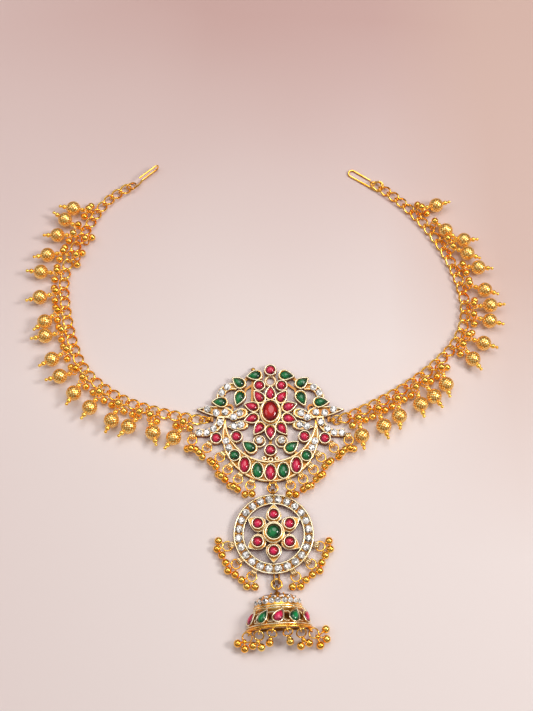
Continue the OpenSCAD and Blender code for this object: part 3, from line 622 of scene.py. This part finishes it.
# rings on the links, with their small balls, and the bead drops
dropSize = {
    "ring": 1.85, "ringWire": 0.34, "ringZ": 2.0, "ringOff": 0.45, "ringTilt": 30.0,
    "ball": 1.55, "neck": 0.3,
    "eye": 1.0, "eyeWire": 0.26, "bead": 3.15, "beadAt": 6.15, "spacer": 1.05, "spacerAt": (2.1, 10.15),
    "tip": 0.7, "tipAt": 11.9, "pin": 0.35,
    # link, heading of the pin, balls on the left, right and top of the ring
    "left": [
        (1, 235, "lrt"), (4, 286, "lt"), (5, 230, "rt"), (7, 250, "lrt"),
        (9, 240, "lrt"), (11, 245, "lt"), (12, 200, "rt"), (14, 215, "lrt"),
        (16, 197, "lrt"), (18, 225, "lrt"), (20, 200, "lrt"), (22, 180, "lrt"),
        (24, 195, "lrt"), (26, 186, "lt"), (27, 150, "t"), (29, 175, "lrt")],
    "right": [
        (1, 277, "lrt"), (3, 285, "lrt"), (5, 270, "lrt"), (7, 280, "rt"),
        (8, 300, "lt"), (10, 280, "lrt"), (13, 300, "rt"), (14, 335, "lt"),
        (16, 340, "rt"), (17, 0, "lt"), (19, 335, "lt"), (21, 350, "rt"),
        (23, 330, "t"), (24, -2, "t"), (26, 312, "t"), (28, 10, "lrt")],
    # rings without a drop, on the chain's other side
    "leftInner": [(24, "lrt"), (26, "lt")], "rightInner": [],
    # links whose ring leans
    "leftLeans": {}, "rightLeans": {24: -15, 26: 15},
    # outward, sideways, height, and the angle on the ring where the neck starts
    "balls": {"l": (1.7, 2.95, 1.6, 75), "r": (1.7, -2.95, 1.6, -75), "t": (0.6, 0, 5.1, 90)},
}
smallBall = ball(dropSize["ball"])


# middle and heading of a link's ring; out is 1 on the chain's left and -1 on its right
def ringSeat(side, link, out):
    points, heads = routes[side]
    square = heads[link] + 90 * out
    heading = square + dropSize[side + "Leans"].get(link, 0)
    at = points[link] + polar(chainSize["wide"] / 2, square) + polar(dropSize["ringOff"], heading)
    return plan(at, dropSize["ringZ"]), heading


# a tilted ring with two or three balls on short necks
def ringWithBalls(kinds):
    s = dropSize
    across, up = polar(1, s["ringTilt"])
    parts = [moved(wireRing(s["ring"], s["ringWire"]), (0, 0, 0), turnX(90 - s["ringTilt"]))]
    for kind in kinds:
        outwards, sideways, height, angle = s["balls"][kind]
        at = np.array([outwards, sideways, height - s["ringZ"]])
        c, w = polar(1, angle)
        start = s["ring"] * np.array([c, w * up, w * across])
        parts += [moved(smallBall, at), rod(start, at, s["neck"])]
    return joined(parts)


# a drop is one spun profile: the widest of the pin and its beads at each distance
def dropProfile():
    s = dropSize
    balls = [(s["spacerAt"][0], s["spacer"], 14), (s["beadAt"], s["bead"], 44),
             (s["spacerAt"][1], s["spacer"], 14), (s["tipAt"], s["tip"], 12)]
    start = s["eye"] + 0.02
    stations = [start] + [c - r * np.cos(a) for c, r, n in balls for a in np.linspace(0, np.pi, n)]
    x = np.unique(np.round(np.array(stations), 4))
    x = x[x >= start]
    width = np.where(x < s["tipAt"], s["pin"], 0.0)
    for centre, r, _ in balls:
        width = np.maximum(width, np.sqrt(np.maximum(r * r - (x - centre) ** 2, 0)))
    width[0] = 0.0
    return rows(np.concatenate([x[:1], x]), np.concatenate([[0.0, s["pin"]], width[1:]]))


def dropPart():
    s = dropSize
    body = spun(dropProfile(), 28, (s["bead"],) * 3, s["beadAt"])
    eye = wireRing(s["eye"], s["eyeWire"], 24, 10)
    eye["local"] = eye["local"] * 0 + 2.0  # outside the bead, so the cuts leave it plain
    return joined([body, eye])


drop = dropPart()
dropLift = np.degrees(np.arcsin((dropSize["bead"] - dropSize["ringZ"]) / dropSize["beadAt"]))
ringKinds = {kinds: ringWithBalls(kinds) for kinds in ("lrt", "lt", "rt", "t")}


for side, out in (("left", 1), ("right", -1)):
    seats = [(pin, kinds, *ringSeat(side, link, out)) for link, pin, kinds in dropSize[side]]
    rings = [moved(ringKinds[kinds], at, turnZ(heading)) for pin, kinds, at, heading in seats]
    for link, kinds in dropSize[side + "Inner"]:
        at, heading = ringSeat(side, link, -out)
        rings.append(moved(ringKinds[kinds], at, turnZ(heading)))
    eyes = [at + plan(polar(dropSize["ring"], heading), 0) for pin, kinds, at, heading in seats]
    drops = copies(drop, [turnZ(seat[0]) @ turnY(-dropLift) for seat in seats], eyes)
    addPiece(side + "Rings", joined(rings), ballGold, side + "_rings")
    addPiece(side + "Drops", drops, beadGold, side + "_drops")
print("rings and drops made")


# two circles bound the crescent, their middles on Y; one bounds the medallion
plateSize = {
    "outer": 19.6, "outerY": -9.5, "inner": 18.2, "innerY": -2.2, "frame": 15.8, "medallion": (1.2, -50.0),
}

# loose rings and clusters round the pendant and the medallion
jointSize = {
    "wire": 0.33, "shift": 0.2, "z": 1.6, "reach": 4.1, "neck": 0.28, "out": 1.3,
    "ribR": 1.1, "ribWire": 0.45, "ribPitch": 0.75,
    "joining": (25.4, -2.9), "joiningR": 1.8, "joiningZ": 1.4, "joiningLean": 22.0, "joiningShift": 0.08,
    "medallionRing": (0.9, -31.5, 2.05, 0.3), "bellRing": (2.3, -69.6, 1.95, 0.45),
    # angle round the crescent, heading, pattern
    "crescent": [(21, 290, "perched"), (36, 296, "stacked"), (51, 308, "stacked"), (67, 315, "stacked")],
    # x, y, heading, pattern
    "wing": [(24.9, -13.4, 297, "paired"), (31.6, -9.95, 274, "stacked")],
    "frame": [27, 51, 75],
    # angle round the ring, height
    "patterns": {
        "stacked": [(-24.5, 1.6), (24.5, 1.6), (0, 4.25)], "paired": [(0, 1.6), (20, 4.45)],
        "perched": [(10, 1.6), (-30, 4.3)], "spread": [(-46, 1.6), (0, 1.6), (46, 1.6)]},
}


# a flat ring through an eyelet, with balls on necks that fan out from it
def cluster(x, y, heading, pattern):
    s = jointSize
    r = dropSize["ring"]
    ringAt = plan(polar(r - s["shift"], heading) + [x, y], s["z"])
    parts = [moved(wireRing(r, s["wire"]), ringAt)]
    for turn, height in s["patterns"][pattern]:
        at = plan(ringAt[:2] + polar(s["reach"], heading + turn), height)
        start = plan(ringAt[:2] + polar(r, heading + turn), s["z"])
        parts += [moved(smallBall, at), rod(start, at, s["neck"])]
    return joined(parts)


# three wire rings in a row over a soldered eyelet, their bore along the edge
def ribs(x, y, heading, pattern):
    s = jointSize
    ring = wireRing(s["ribR"], s["ribWire"], 24, 8)
    at = [plan(polar(s["ribPitch"] * k, heading + 90) + [x, y], s["z"]) for k in (-1, 0, 1)]
    return copies(ring, [turnZ(heading) @ turnX(90)] * 3, at)


# the same part on the left, by turning every x round and every face with it
def mirrored(part):
    flip = np.array([-1.0, 1, 1])
    return {**part, "points": part["points"] * flip, "lean": part["lean"] * flip,
            "quads": part["quads"][:, ::-1], "tris": part["tris"][:, ::-1]}


# one part for each eyelet of the pendant, or of the medallion, on both sides
def roundPendant(make):
    s, p = jointSize, plateSize
    reach = p["outer"] + s["out"]
    seats = [(*(polar(reach, 270 + a) + [0, p["outerY"]]), h, kind) for a, h, kind in s["crescent"]]
    right = joined(make(*seat) for seat in seats + s["wing"])
    return joined([right, mirrored(right)])


def roundMedallion(make):
    s, p = jointSize, plateSize
    right = joined(make(*polar(p["frame"] + s["out"], 270 + a), 270 + a, "spread") for a in s["frame"])
    return moved(joined([right, mirrored(right)]), plan(p["medallion"], 0))


def joiningRing(side):
    s = jointSize
    x, y = s["joining"]
    at = (side * (x + s["joiningR"] - s["joiningShift"]), y, s["joiningZ"])
    return moved(wireRing(s["joiningR"], s["wire"]), at, turnX(side * s["joiningLean"]))


addPiece("pendantBalls", roundPendant(cluster), ballGold, "pendant_dangles")
addPiece("medallionBalls", roundMedallion(cluster), ballGold, "medallion_dangles")
addPiece("pendantRibs", roundPendant(ribs), litRimGold)
addPiece("medallionRibs", roundMedallion(ribs), litRimGold)
for side, sign in (("left", -1), ("right", 1)):
    addPiece(side + "JoiningRing", joiningRing(sign), chainGold, side + "_joining_ring")
for name in ("medallion", "bell"):
    x, y, r, wire = jointSize[name + "Ring"]
    ring = moved(wireRing(r, wire), (x, y, jointSize["z"]))
    addPiece(name + "Ring", ring, chainGold, name + "_ring")
print("clusters and joining rings made")


# stones of the pendant
pendantSize = {
    "seat": 1.3, "rise": 2.3, "petals": (8.15, 8.6, 5.4, 3.5),
    # x, y, heading of the tip, length, width; "both" rows are repeated on the left
    "greenPearsBoth": [
        (6.7, 16.2, -8, 5.4, 3.5), (13.2, 13.2, 38, 5.2, 3.6), (12.8, 6.2, -70, 5.8, 3.7),
        (20.8, 4.5, 2, 5.4, 3.6), (8.6, -14.5, 38, 5.6, 3.7)],
    "redOvals": [(0, -25.3, 90, 6.2, 4.0)], "redOvalsBoth": [(10.4, -22.2, 90, 6.1, 3.9)],
    "greenOvalsBoth": [(5.2, -24.5, 90, 6.0, 4.0)],
    "redRounds": [(0, 18.6, 0, 3.8, 3.8), (0, -16, 0, 3.9, 3.9)],
    "redRoundsBoth": [(4.6, 11.8, 0, 3.7, 3.7), (13.8, -10.2, 0, 3.9, 3.9), (22, -10.9, 0, 3.7, 3.7)],
    "greenRoundsBoth": [(14.5, -18.2, 0, 3.8, 3.8)],
    "centre": (0, 0, 90, 8.8, 6.6), "centreSeat": 3.1, "centreRise": 2.9,
    "collets": [
        (17.8, 11.2), (20.1, 8.7), (25.8, 1.5), (22.2, 0), (18.6, 0.3), (12.5, -0.1), (15, -1.9),
        (12, -5.2), (14.8, -5.8), (20.5, -4.2), (23.2, -6.9), (25.9, -8.5), (29, -8.5),
        (18, -12.1), (16.8, -15), (4.5, -11.7)],
    "crystal": 1.5, "crystalRise": 1.05, "crystalZ": 1.72, "crystalTurn": 31,
    "claw": 0.27, "clawAt": 1.5, "clawZ": 2.1,
}


def bothSides(right):
    return right + [(-x, y, 180 - turn, length, width) for x, y, turn, length, width in right]


# the ten petals stand on an ellipse round the centre
def petalSeats():
    across, up, length, width = pendantSize["petals"]
    turns = np.arange(90, 450, 36)
    return [(across * x, up * y, t, length, width) for x, y, t in zip(*polar(1, turns), turns)]


# one part at each seat, made from its length and width
def onSeats(seats, make, z=0):
    return joined(moved(make(length, width), (x, y, z), turnZ(turn)) for x, y, turn, length, width in seats)


def setStones(seats, outline, z, rise):
    return onSeats(seats, lambda length, width: cabochon(outline(length, width), rise), z)


def pendantStones():
    s = pendantSize
    level = (s["seat"], s["rise"])
    reds = s["redOvals"] + bothSides(s["redOvalsBoth"]) + s["redRounds"] + bothSides(s["redRoundsBoth"])
    pears = setStones(bothSides(s["greenPearsBoth"]), pear, *level)
    ovals = setStones(bothSides(s["greenOvalsBoth"]) + bothSides(s["greenRoundsBoth"]), oval, *level)
    addPiece("petalRubies", setStones(petalSeats(), pear, *level), rubyGlass, "petal_rubies")
    addPiece("pendantRubies", setStones(reds, oval, *level), rubyGlass, "pendant_rubies")
    addPiece("pendantEmeralds", joined([pears, ovals]), emeraldGlass, "pendant_emeralds")
    centre = setStones([s["centre"]], oval, s["centreSeat"], s["centreRise"])
    addPiece("centreRuby", centre, heartGlass, "centre_ruby")


# small clear stones over their collets, each held by four round claws
def pendantCrystals():
    s = pendantSize
    at = np.array([(side * x, y) for side in (-1, 1) for x, y in s["collets"]])
    turns = [turnZ(s["crystalTurn"] * k) for k in range(len(at))]
    stones = copies(brilliant(s["crystal"], s["crystalRise"]), turns, [plan(p, s["crystalZ"]) for p in at])
    addPiece("pendantCrystals", stones, clearGlass, cut=True)
    corners = [p + polar(s["clawAt"], a) for p in at for a in (45, 135, 225, 315)]
    claws = spread(grain(s["claw"]), [plan(p, s["clawZ"]) for p in corners])
    addPiece("pendantClaws", claws, ballGold)


# rims on the bezels, rails along the crescent, the wings and the channels, and scroll rings
rimSize = {
    "grown": 0.378, "wide": 0.27, "high": 0.26, "z": 2.6, "collarZ": 4.6, "baseZ": 3.0,
    "railIn": 0.45, "railWide": 0.27, "railHigh": 0.22, "railZ": 1.98, "channelEnds": 0.45,
    "collar": (0, 0, 90, 11.4, 9.0),
    "wings": [(22.6, 0.7, 7, 15.5, 5.2), (13.8, -0.7, -18, 9.6, 4.6), (13.4, -5.5, -8, 9.0, 4.2)],
    # centre x, centre y, inner radius, outer radius, first angle, last angle
    "channels": [(15.5, 6.5, 3.6, 6.8, -15, 110), (27.2, -1.6, 5.4, 8.6, 182, 295)],
    # x, y, radius
    "scrolls": [
        (0, 14.1, 2.1), (4.5, -12, 2.35), (-4.5, -12, 2.35),
        (0, -19.6, 0.8), (2.6, -19.2, 0.75), (-2.6, -19.2, 0.75)],
    "scrollWire": 0.3, "scrollZ": 1.25,
}


def arc(r, x, y, first, last, steps=40):
    return rows(*polar(r, np.linspace(first, last, steps))) + [x, y]


# where the two circles of the crescent cross gives the angles of its horns
def crescentOutline(inset):
    p = plateSize
    r1, y1, r2, y2 = p["outer"] - inset, p["outerY"], p["inner"] + inset, p["innerY"]
    y = (r1 ** 2 - r2 ** 2 - y1 ** 2 + y2 ** 2) / (2 * (y2 - y1))
    x = np.sqrt(r1 ** 2 - (y - y1) ** 2)
    a1, a2 = np.degrees(np.arctan2(y - y1, x)), np.degrees(np.arctan2(y - y2, x))
    return np.concatenate([arc(r1, 0, y1, a1, -180 - a1, 90), arc(r2, 0, y2, -180 - a2, a2, 90)[1:-1]])


def setRims(seats, outline, grown, wide, high, z):
    return onSeats(seats, lambda length, width: rim(outline(length, width, grown), wide, high, z))


def pendantRims():
    s, p = rimSize, pendantSize
    section = (s["wide"], s["high"])
    pears = petalSeats() + bothSides(p["greenPearsBoth"])
    ovals = p["redOvals"] + p["redRounds"] + bothSides(
        p["redOvalsBoth"] + p["greenOvalsBoth"] + p["redRoundsBoth"] + p["greenRoundsBoth"])
    parts = [
        setRims(pears, pear, s["grown"], *section, s["z"]),
        setRims(ovals, oval, s["grown"], *section, s["z"]),
        setRims([p["centre"]], oval, s["grown"], *section, s["collarZ"]),
        setRims([s["collar"]], oval, -s["wide"], *section, s["baseZ"])]
    addPiece("pendantRims", joined(parts), litRimGold)


def flatRing(r, wire, z, around, at=(0, 0)):
    return moved(wireRing(r, wire, around, 8), plan(at, z))


def pendantRails():
    s = rimSize
    section = (s["railWide"], s["railHigh"], s["railZ"])
    wings = setRims(bothSides(s["wings"]), pear, -s["railIn"], *section)
    parts = [rim(crescentOutline(s["railIn"]), *section), wings]
    for x, y, inner, outer, first, last in s["channels"]:
        inner, outer = inner + s["railIn"], outer - s["railIn"]
        first, last = first + s["channelEnds"], last - s["channelEnds"]
        outline = [arc(outer, x, y, first, last), arc(inner, x, y, last, first)]
        right = rim(np.concatenate(outline), *section)
        parts += [right, mirrored(right)]
    for x, y, r in s["scrolls"]:
        parts.append(flatRing(r, s["scrollWire"], s["scrollZ"], 28, (x, y)))
    addPiece("pendantRails", joined(parts), litRimGold)


pendantStones()
pendantCrystals()
pendantRims()
pendantRails()
print("pendant stones and rims made")


# granulation on the crescent
grainSize = {"r": 0.36, "pitch": 0.86, "z": 1.28, "rail": 1.1, "stone": 1.0, "collet": 2.1}


# a triangular net of balls, less those near a rail, a stone or a collet
def crescentGrains():
    g, s, p = grainSize, pendantSize, plateSize
    x, y = np.meshgrid(np.arange(-20, 20.1, g["pitch"]), np.arange(-30, 2, g["pitch"] * 0.866))
    x = x + (np.arange(x.shape[0])[:, None] % 2) * g["pitch"] / 2
    keep = np.hypot(x, y - p["outerY"]) < p["outer"] - g["rail"]
    keep &= np.hypot(x, y - p["innerY"]) > p["inner"] + g["rail"]
    seats = s["redOvals"] + bothSides(s["redOvalsBoth"] + s["greenOvalsBoth"] + s["greenRoundsBoth"])
    for sx, sy, turn, length, width in seats:
        c, w = polar(1, turn)
        u, v = (x - sx) * c + (y - sy) * w, (y - sy) * c - (x - sx) * w
        keep &= (u / (length / 2 + g["stone"])) ** 2 + (v / (width / 2 + g["stone"])) ** 2 > 1
    for sx, sy in s["collets"]:
        keep &= np.hypot(abs(x) - sx, y - sy) > g["collet"]
    return spread(grain(g["r"]), rows(x[keep], y[keep], g["z"]))


addPiece("crescentGrains", crescentGrains(), ballGold)
print("granulation made")


# stones and rims of the medallion
medallionSize = {
    "petals": range(30, 331, 60), "reach": 7.2, "stone": 3.7, "base": 3.3, "rise": 2.3,
    "heart": 5.6, "heartBase": 4.8, "heartRise": 3.0,
    "count": 24, "ring": 13.75, "crystal": 1.45, "crystalRise": 1.7, "seat": 1.3, "crystalTurn": 3.1,
    "grain": 0.32, "grainAt": (14.95, 12.55), "grainZ": 1.95,
    # wire rings: radius, radius of the wire, height, points round the ring
    "rails": [(15.5, 0.33, 2.2, 96), (12.0, 0.33, 2.2, 96)], "petalRing": (2.23, 0.3, 4.8, 32),
    "heartRings": [(3.18, 0.34, 6.5, 40), (4.0, 0.36, 4.65, 48)],
    # length, width, drawn in by, wire, height, and distance beyond the stone's middle
    "leaf": (8.0, 6.4, -0.3, 0.26, 3.2, 0.7),
}


def medallionStones():
    s = medallionSize
    middle = np.array(plateSize["medallion"])
    rounds = [(*(middle + polar(s["reach"], a)), 0, s["stone"], s["stone"]) for a in s["petals"]]
    reds = setStones(rounds, oval, s["base"], s["rise"])
    addPiece("medallionRubies", reds, rubyGlass, "medallion_rubies")
    green = setStones([(*middle, 0, s["heart"], s["heart"])], oval, s["heartBase"], s["heartRise"])
    addPiece("medallionEmerald", green, emeraldGlass, "medallion_emerald")
    between = 360 * np.arange(s["count"]) / s["count"]
    angles = 360 * (np.arange(s["count"]) + 0.5) / s["count"]
    at = [plan(middle + polar(s["ring"], a), s["seat"]) for a in angles]
    turns = [turnZ(a * s["crystalTurn"]) for a in angles]
    stones = copies(brilliant(s["crystal"], s["crystalRise"]), turns, at)
    addPiece("medallionCrystals", stones, clearGlass, "medallion_crystals", cut=True)
    # a claw on each rail between two stones
    at = [plan(middle + polar(r, a), s["grainZ"]) for r in s["grainAt"] for a in between]
    addPiece("medallionClaws", spread(grain(s["grain"]), at), ballGold)


# rails of the frame, rims of the flower, and the wire loop round each petal
def medallionRims():
    s = medallionSize
    length, width, grown, wire, z, beyond = s["leaf"]
    leaf = rim(pear(length, width, grown), wire, wire, z)
    parts = [flatRing(*row) for row in s["rails"]]
    for a in s["petals"]:
        parts.append(flatRing(*s["petalRing"], polar(s["reach"], a)))
        parts.append(moved(leaf, plan(polar(s["reach"] + beyond, a), 0), turnZ(a)))
    parts += [flatRing(*row) for row in s["heartRings"]]
    addPiece("medallionRims", moved(joined(parts), plan(plateSize["medallion"], 0)), litRimGold)


medallionStones()
medallionRims()
print("medallion stones and rims made")


# the bell's own axis runs from the crown to the mouth, along -Y when laid down
def onBell(part, move, turn=still):
    s = bellSize
    return moved(moved(part, move, turn), plan(s["at"], -s["sink"]), turnZ(s["turn"]) @ turnX(90))


# one part at each angle of the band, with X towards the crown and Z outwards
def onBand(part, angles):
    s = bellSize
    lie = turnX(-90 - np.degrees(np.arctan(bellSlope))) @ turnZ(90)
    at = np.array([0, s["ridge"] + bellSlope * (s["pearAt"] - s["dome"]), s["pearAt"]])
    return joined(onBell(part, turnZ(-angle) @ at, turnZ(-angle) @ lie) for angle in angles)


def bandStones(angles):
    s = bellSize
    stone = moved(cabochon(pear(*s["pear"]), s["pearRise"]), (0, 0, s["pearSeat"]), turnZ(s["tip"]))
    return onBand(stone, angles)


# clear stones in arcs round the dome, each along the dome's normal, with a claw between each two
def domeStones():
    s = bellSize
    parts, claws = [], []
    stone = brilliant(s["paveR"], s["paveRise"])
    for share, step, last in s["pave"]:
        c, w = polar(1, share)
        wide = s["ridge"] - s["crown"]
        r, t = s["crown"] + wide * w, s["dome"] * (1 - c)
        lean = np.degrees(np.arctan2(wide * c, s["dome"] * w))
        up, back = polar(1, lean)
        for angle in np.arange(-last, last + 1, step):
            lie = turnZ(-angle) @ turnX(-90 + lean)
            outwards = turnZ(-angle) @ np.array([0, up, -back])
            at = turnZ(-angle) @ np.array([0, r, t]) - s["paveSink"] * outwards
            parts.append(onBell(stone, at, lie))
            if angle < last:
                side = turnZ(-angle - step / 2) @ np.array([0, r, t])
                claws.append(onBell(grain(s["claw"]), side + s["clawOut"] * outwards))
    return joined(parts), joined(claws)


# a ring, a middle ball and one to three small balls at each place on the rim
def rimClusters():
    s, r = bellSize, dropSize["ring"]
    parts = []
    for angle, heading, slope, length, count in s["rimRows"]:
        up, across = polar(s["rim"] - s["rimIn"], angle)
        at = turnZ(s["turn"]) @ np.array([across, -s["length"] - s["hang"], 0])
        at = at + plan(s["at"], up - s["sink"])
        end = length - dropSize["ball"]
        middle = np.array([end - s["middleBack"], 0, 0])
        edge = np.array([2 * r - s["rimShift"], 0, 0])
        bits = [moved(wireRing(r, s["rimWire"]), (r - s["rimShift"], 0, 0)),
                rod(edge, middle, dropSize["neck"]), moved(ball(s["middle"], 16, 10), middle)]
        for ahead, sideways in s["rimBalls"][count - 1]:
            to = np.array([end + ahead, sideways, 0.0])
            bits += [rod(middle, to, dropSize["neck"]), moved(smallBall, to)]
        parts.append(moved(joined(bits), at, turnZ(heading) @ turnY(slope)))
    return joined(parts)


# two wires round the ridge, two round the rim, a rim and a stem for each pear stone, and window frames
def bellRims():
    s = bellSize
    parts = []
    for r, t, wire in s["wires"]:
        reach = np.degrees(np.arccos(min(1.0, (s["sink"] + wire) / r)))
        up, across = polar(r, np.linspace(-reach, reach, 60))
        parts.append(onBell(bentRod(rows(across, up, t), wire), (0, 0, 0)))
    loop = rim(pear(*s["pear"], rimSize["grown"]), rimSize["wide"], rimSize["high"], s["pearRim"])
    near, far = s["stem"]
    t = np.linspace(0, 1, 8)
    lean = near * np.tan(np.radians(s["tip"]))
    sideways = lean * (1 - s["stemBend"] * t ** 2)
    stem = rows(near + (far - near) * t, sideways, s["stemZ"] - s["stemFall"] * t)
    pearRim = joined([moved(loop, (0, 0, 0), turnZ(s["tip"])), bentRod(stem, s["thin"])])
    window = rim(boxed(*s["window"]), s["thin"], s["thin"], s["windowZ"])
    return joined(parts + [onBand(pearRim, s["red"] + s["green"]), onBand(window, s["windows"])])


addPiece("bellRims", bellRims(), litRimGold)
addPiece("bellRubies", bandStones(bellSize["red"]), rubyGlass, "bell_stones_red")
addPiece("bellEmeralds", bandStones(bellSize["green"]), emeraldGlass, "bell_stones_green")
paveStones, paveClaws = domeStones()
addPiece("bellCrystals", paveStones, clearGlass, cut=True)
addPiece("bellClaws", paveClaws, ballGold)
addPiece("bellBalls", rimClusters(), ballGold, "bell_dangles")
print("bell stones and balls made")


# carried-over nodes get their gold
golds = {"pendant_plate": plateGold, "medallion_plate": flowerGold, "bell": bellGold,
         "left_hook": chainGold, "right_hook": chainGold}
for name, finish in golds.items():
    for place in cadNodes[name].material_slots:
        place.material = finish[0]
print("plates finished")


# floor, light and camera
setSize = {
    "floor": 8.0, "floorZ": -0.02, "wash": 5.0, "fibre": 900.0,
    "floorNear": paint(240, 229, 226), "floorFar": paint(206, 172, 166),
    "floorLeft": paint(236, 216, 212), "floorRight": paint(214, 184, 172),
    # name, place, width, power, colour
    "lights": [
        ("key", (0.8, -0.05, 0.75), 0.34, 5.2, (1.0, 0.98, 0.96)),
        ("fill", (-0.75, 0.1, 0.8), 0.6, 1.1, (1, 1, 1)),
        ("top", (0.12, 0.42, 1.0), 0.8, 4.2, (1, 1, 1))],
    "skyLow": paint(84, 48, 28), "skyHigh": paint(238, 226, 222), "sky": 0.46,
    "tilt": 68.0, "distance": 450.0, "pixel": 0.42, "frameHigh": 711, "sensor": 36.0, "aim": (-1.6, 26.09),
}


# pale board, a little darker far away and towards both sides
def makeFloor():
    s = setSize
    half, z = s["floor"], s["floorZ"] * mm
    mesh = bpy.data.meshes.new("floor")
    corners = [(-half, -half, z), (half, -half, z), (half, half, z), (-half, half, z)]
    mesh.from_pydata(corners, [], [(0, 1, 2, 3)])
    board = Finish("floorPaper", {"Roughness": 0.55, "Specular IOR Level": 0.3})
    where = board.place()
    x, y = board.axes(where)[:2]
    wash = board.noise(where, s["wash"], 2.0)
    colour = board.mix(((y - 0.02) * 5.5 + (wash - 0.5) * 0.5).held(), s["floorNear"], s["floorFar"])
    colour = board.mix(((-0.03 - x) * 6.0).held() * 0.7, colour, s["floorLeft"])
    right = ((x - 0.05) * 20.0).held() * ((y + 0.06) * 8.0).held()
    colour = board.mix(right * 0.8, colour, s["floorRight"])
    board.feed("Base Color", colour)
    board.bump(board.noise(where, s["fibre"]), 0.05, 0.0002)
    mesh.materials.append(board.material)
    floor = show("floor", mesh)


def makeLight(name, at, wide, power, colour):
    lamp = bpy.data.lights.new(name, "AREA")
    lamp.shape, lamp.size, lamp.energy, lamp.color = "DISK", wide, power, colour
    made = show(name, lamp)
    made.location = at
    made.rotation_euler = (-Vector(at)).to_track_quat("-Z", "Y").to_euler()


def makeSky():
    world = bpy.data.worlds.new("studio")
    bpy.context.scene.world = world
    world.use_nodes = True
    sky = Nodes(world.node_tree)
    height = sky.axes(sky.node("TexCoord", out=0))[2]
    back = world.node_tree.nodes["Background"]
    back.inputs["Strength"].default_value = setSize["sky"]
    shade = sky.mix(((height - 0.2) * 2.0).held(), setSize["skyLow"], setSize["skyHigh"])
    connect(sky.tree, back.inputs["Color"], shade)


def makeCamera():
    s = setSize
    tilt = np.radians(s["tilt"])
    way = Vector((0, np.cos(tilt), -np.sin(tilt)))
    lens = bpy.data.cameras.new("camera")
    lens.sensor_width = s["sensor"]
    lens.lens = s["distance"] / s["pixel"] * s["sensor"] / s["frameHigh"]
    lens.clip_start, lens.clip_end = 0.01, 20.0
    made = show("camera", lens)
    made.location = Vector((s["aim"][0] * mm, s["aim"][1] * mm, 0)) - way * s["distance"] * mm
    made.rotation_mode = "QUATERNION"
    made.rotation_quaternion = way.to_track_quat("-Z", "Y")
    bpy.context.scene.camera = made


makeFloor()
for row in setSize["lights"]:
    makeLight(*row)
makeSky()
makeCamera()
bpy.context.scene.view_settings.view_transform = "Standard"
print("floor, light and camera made")
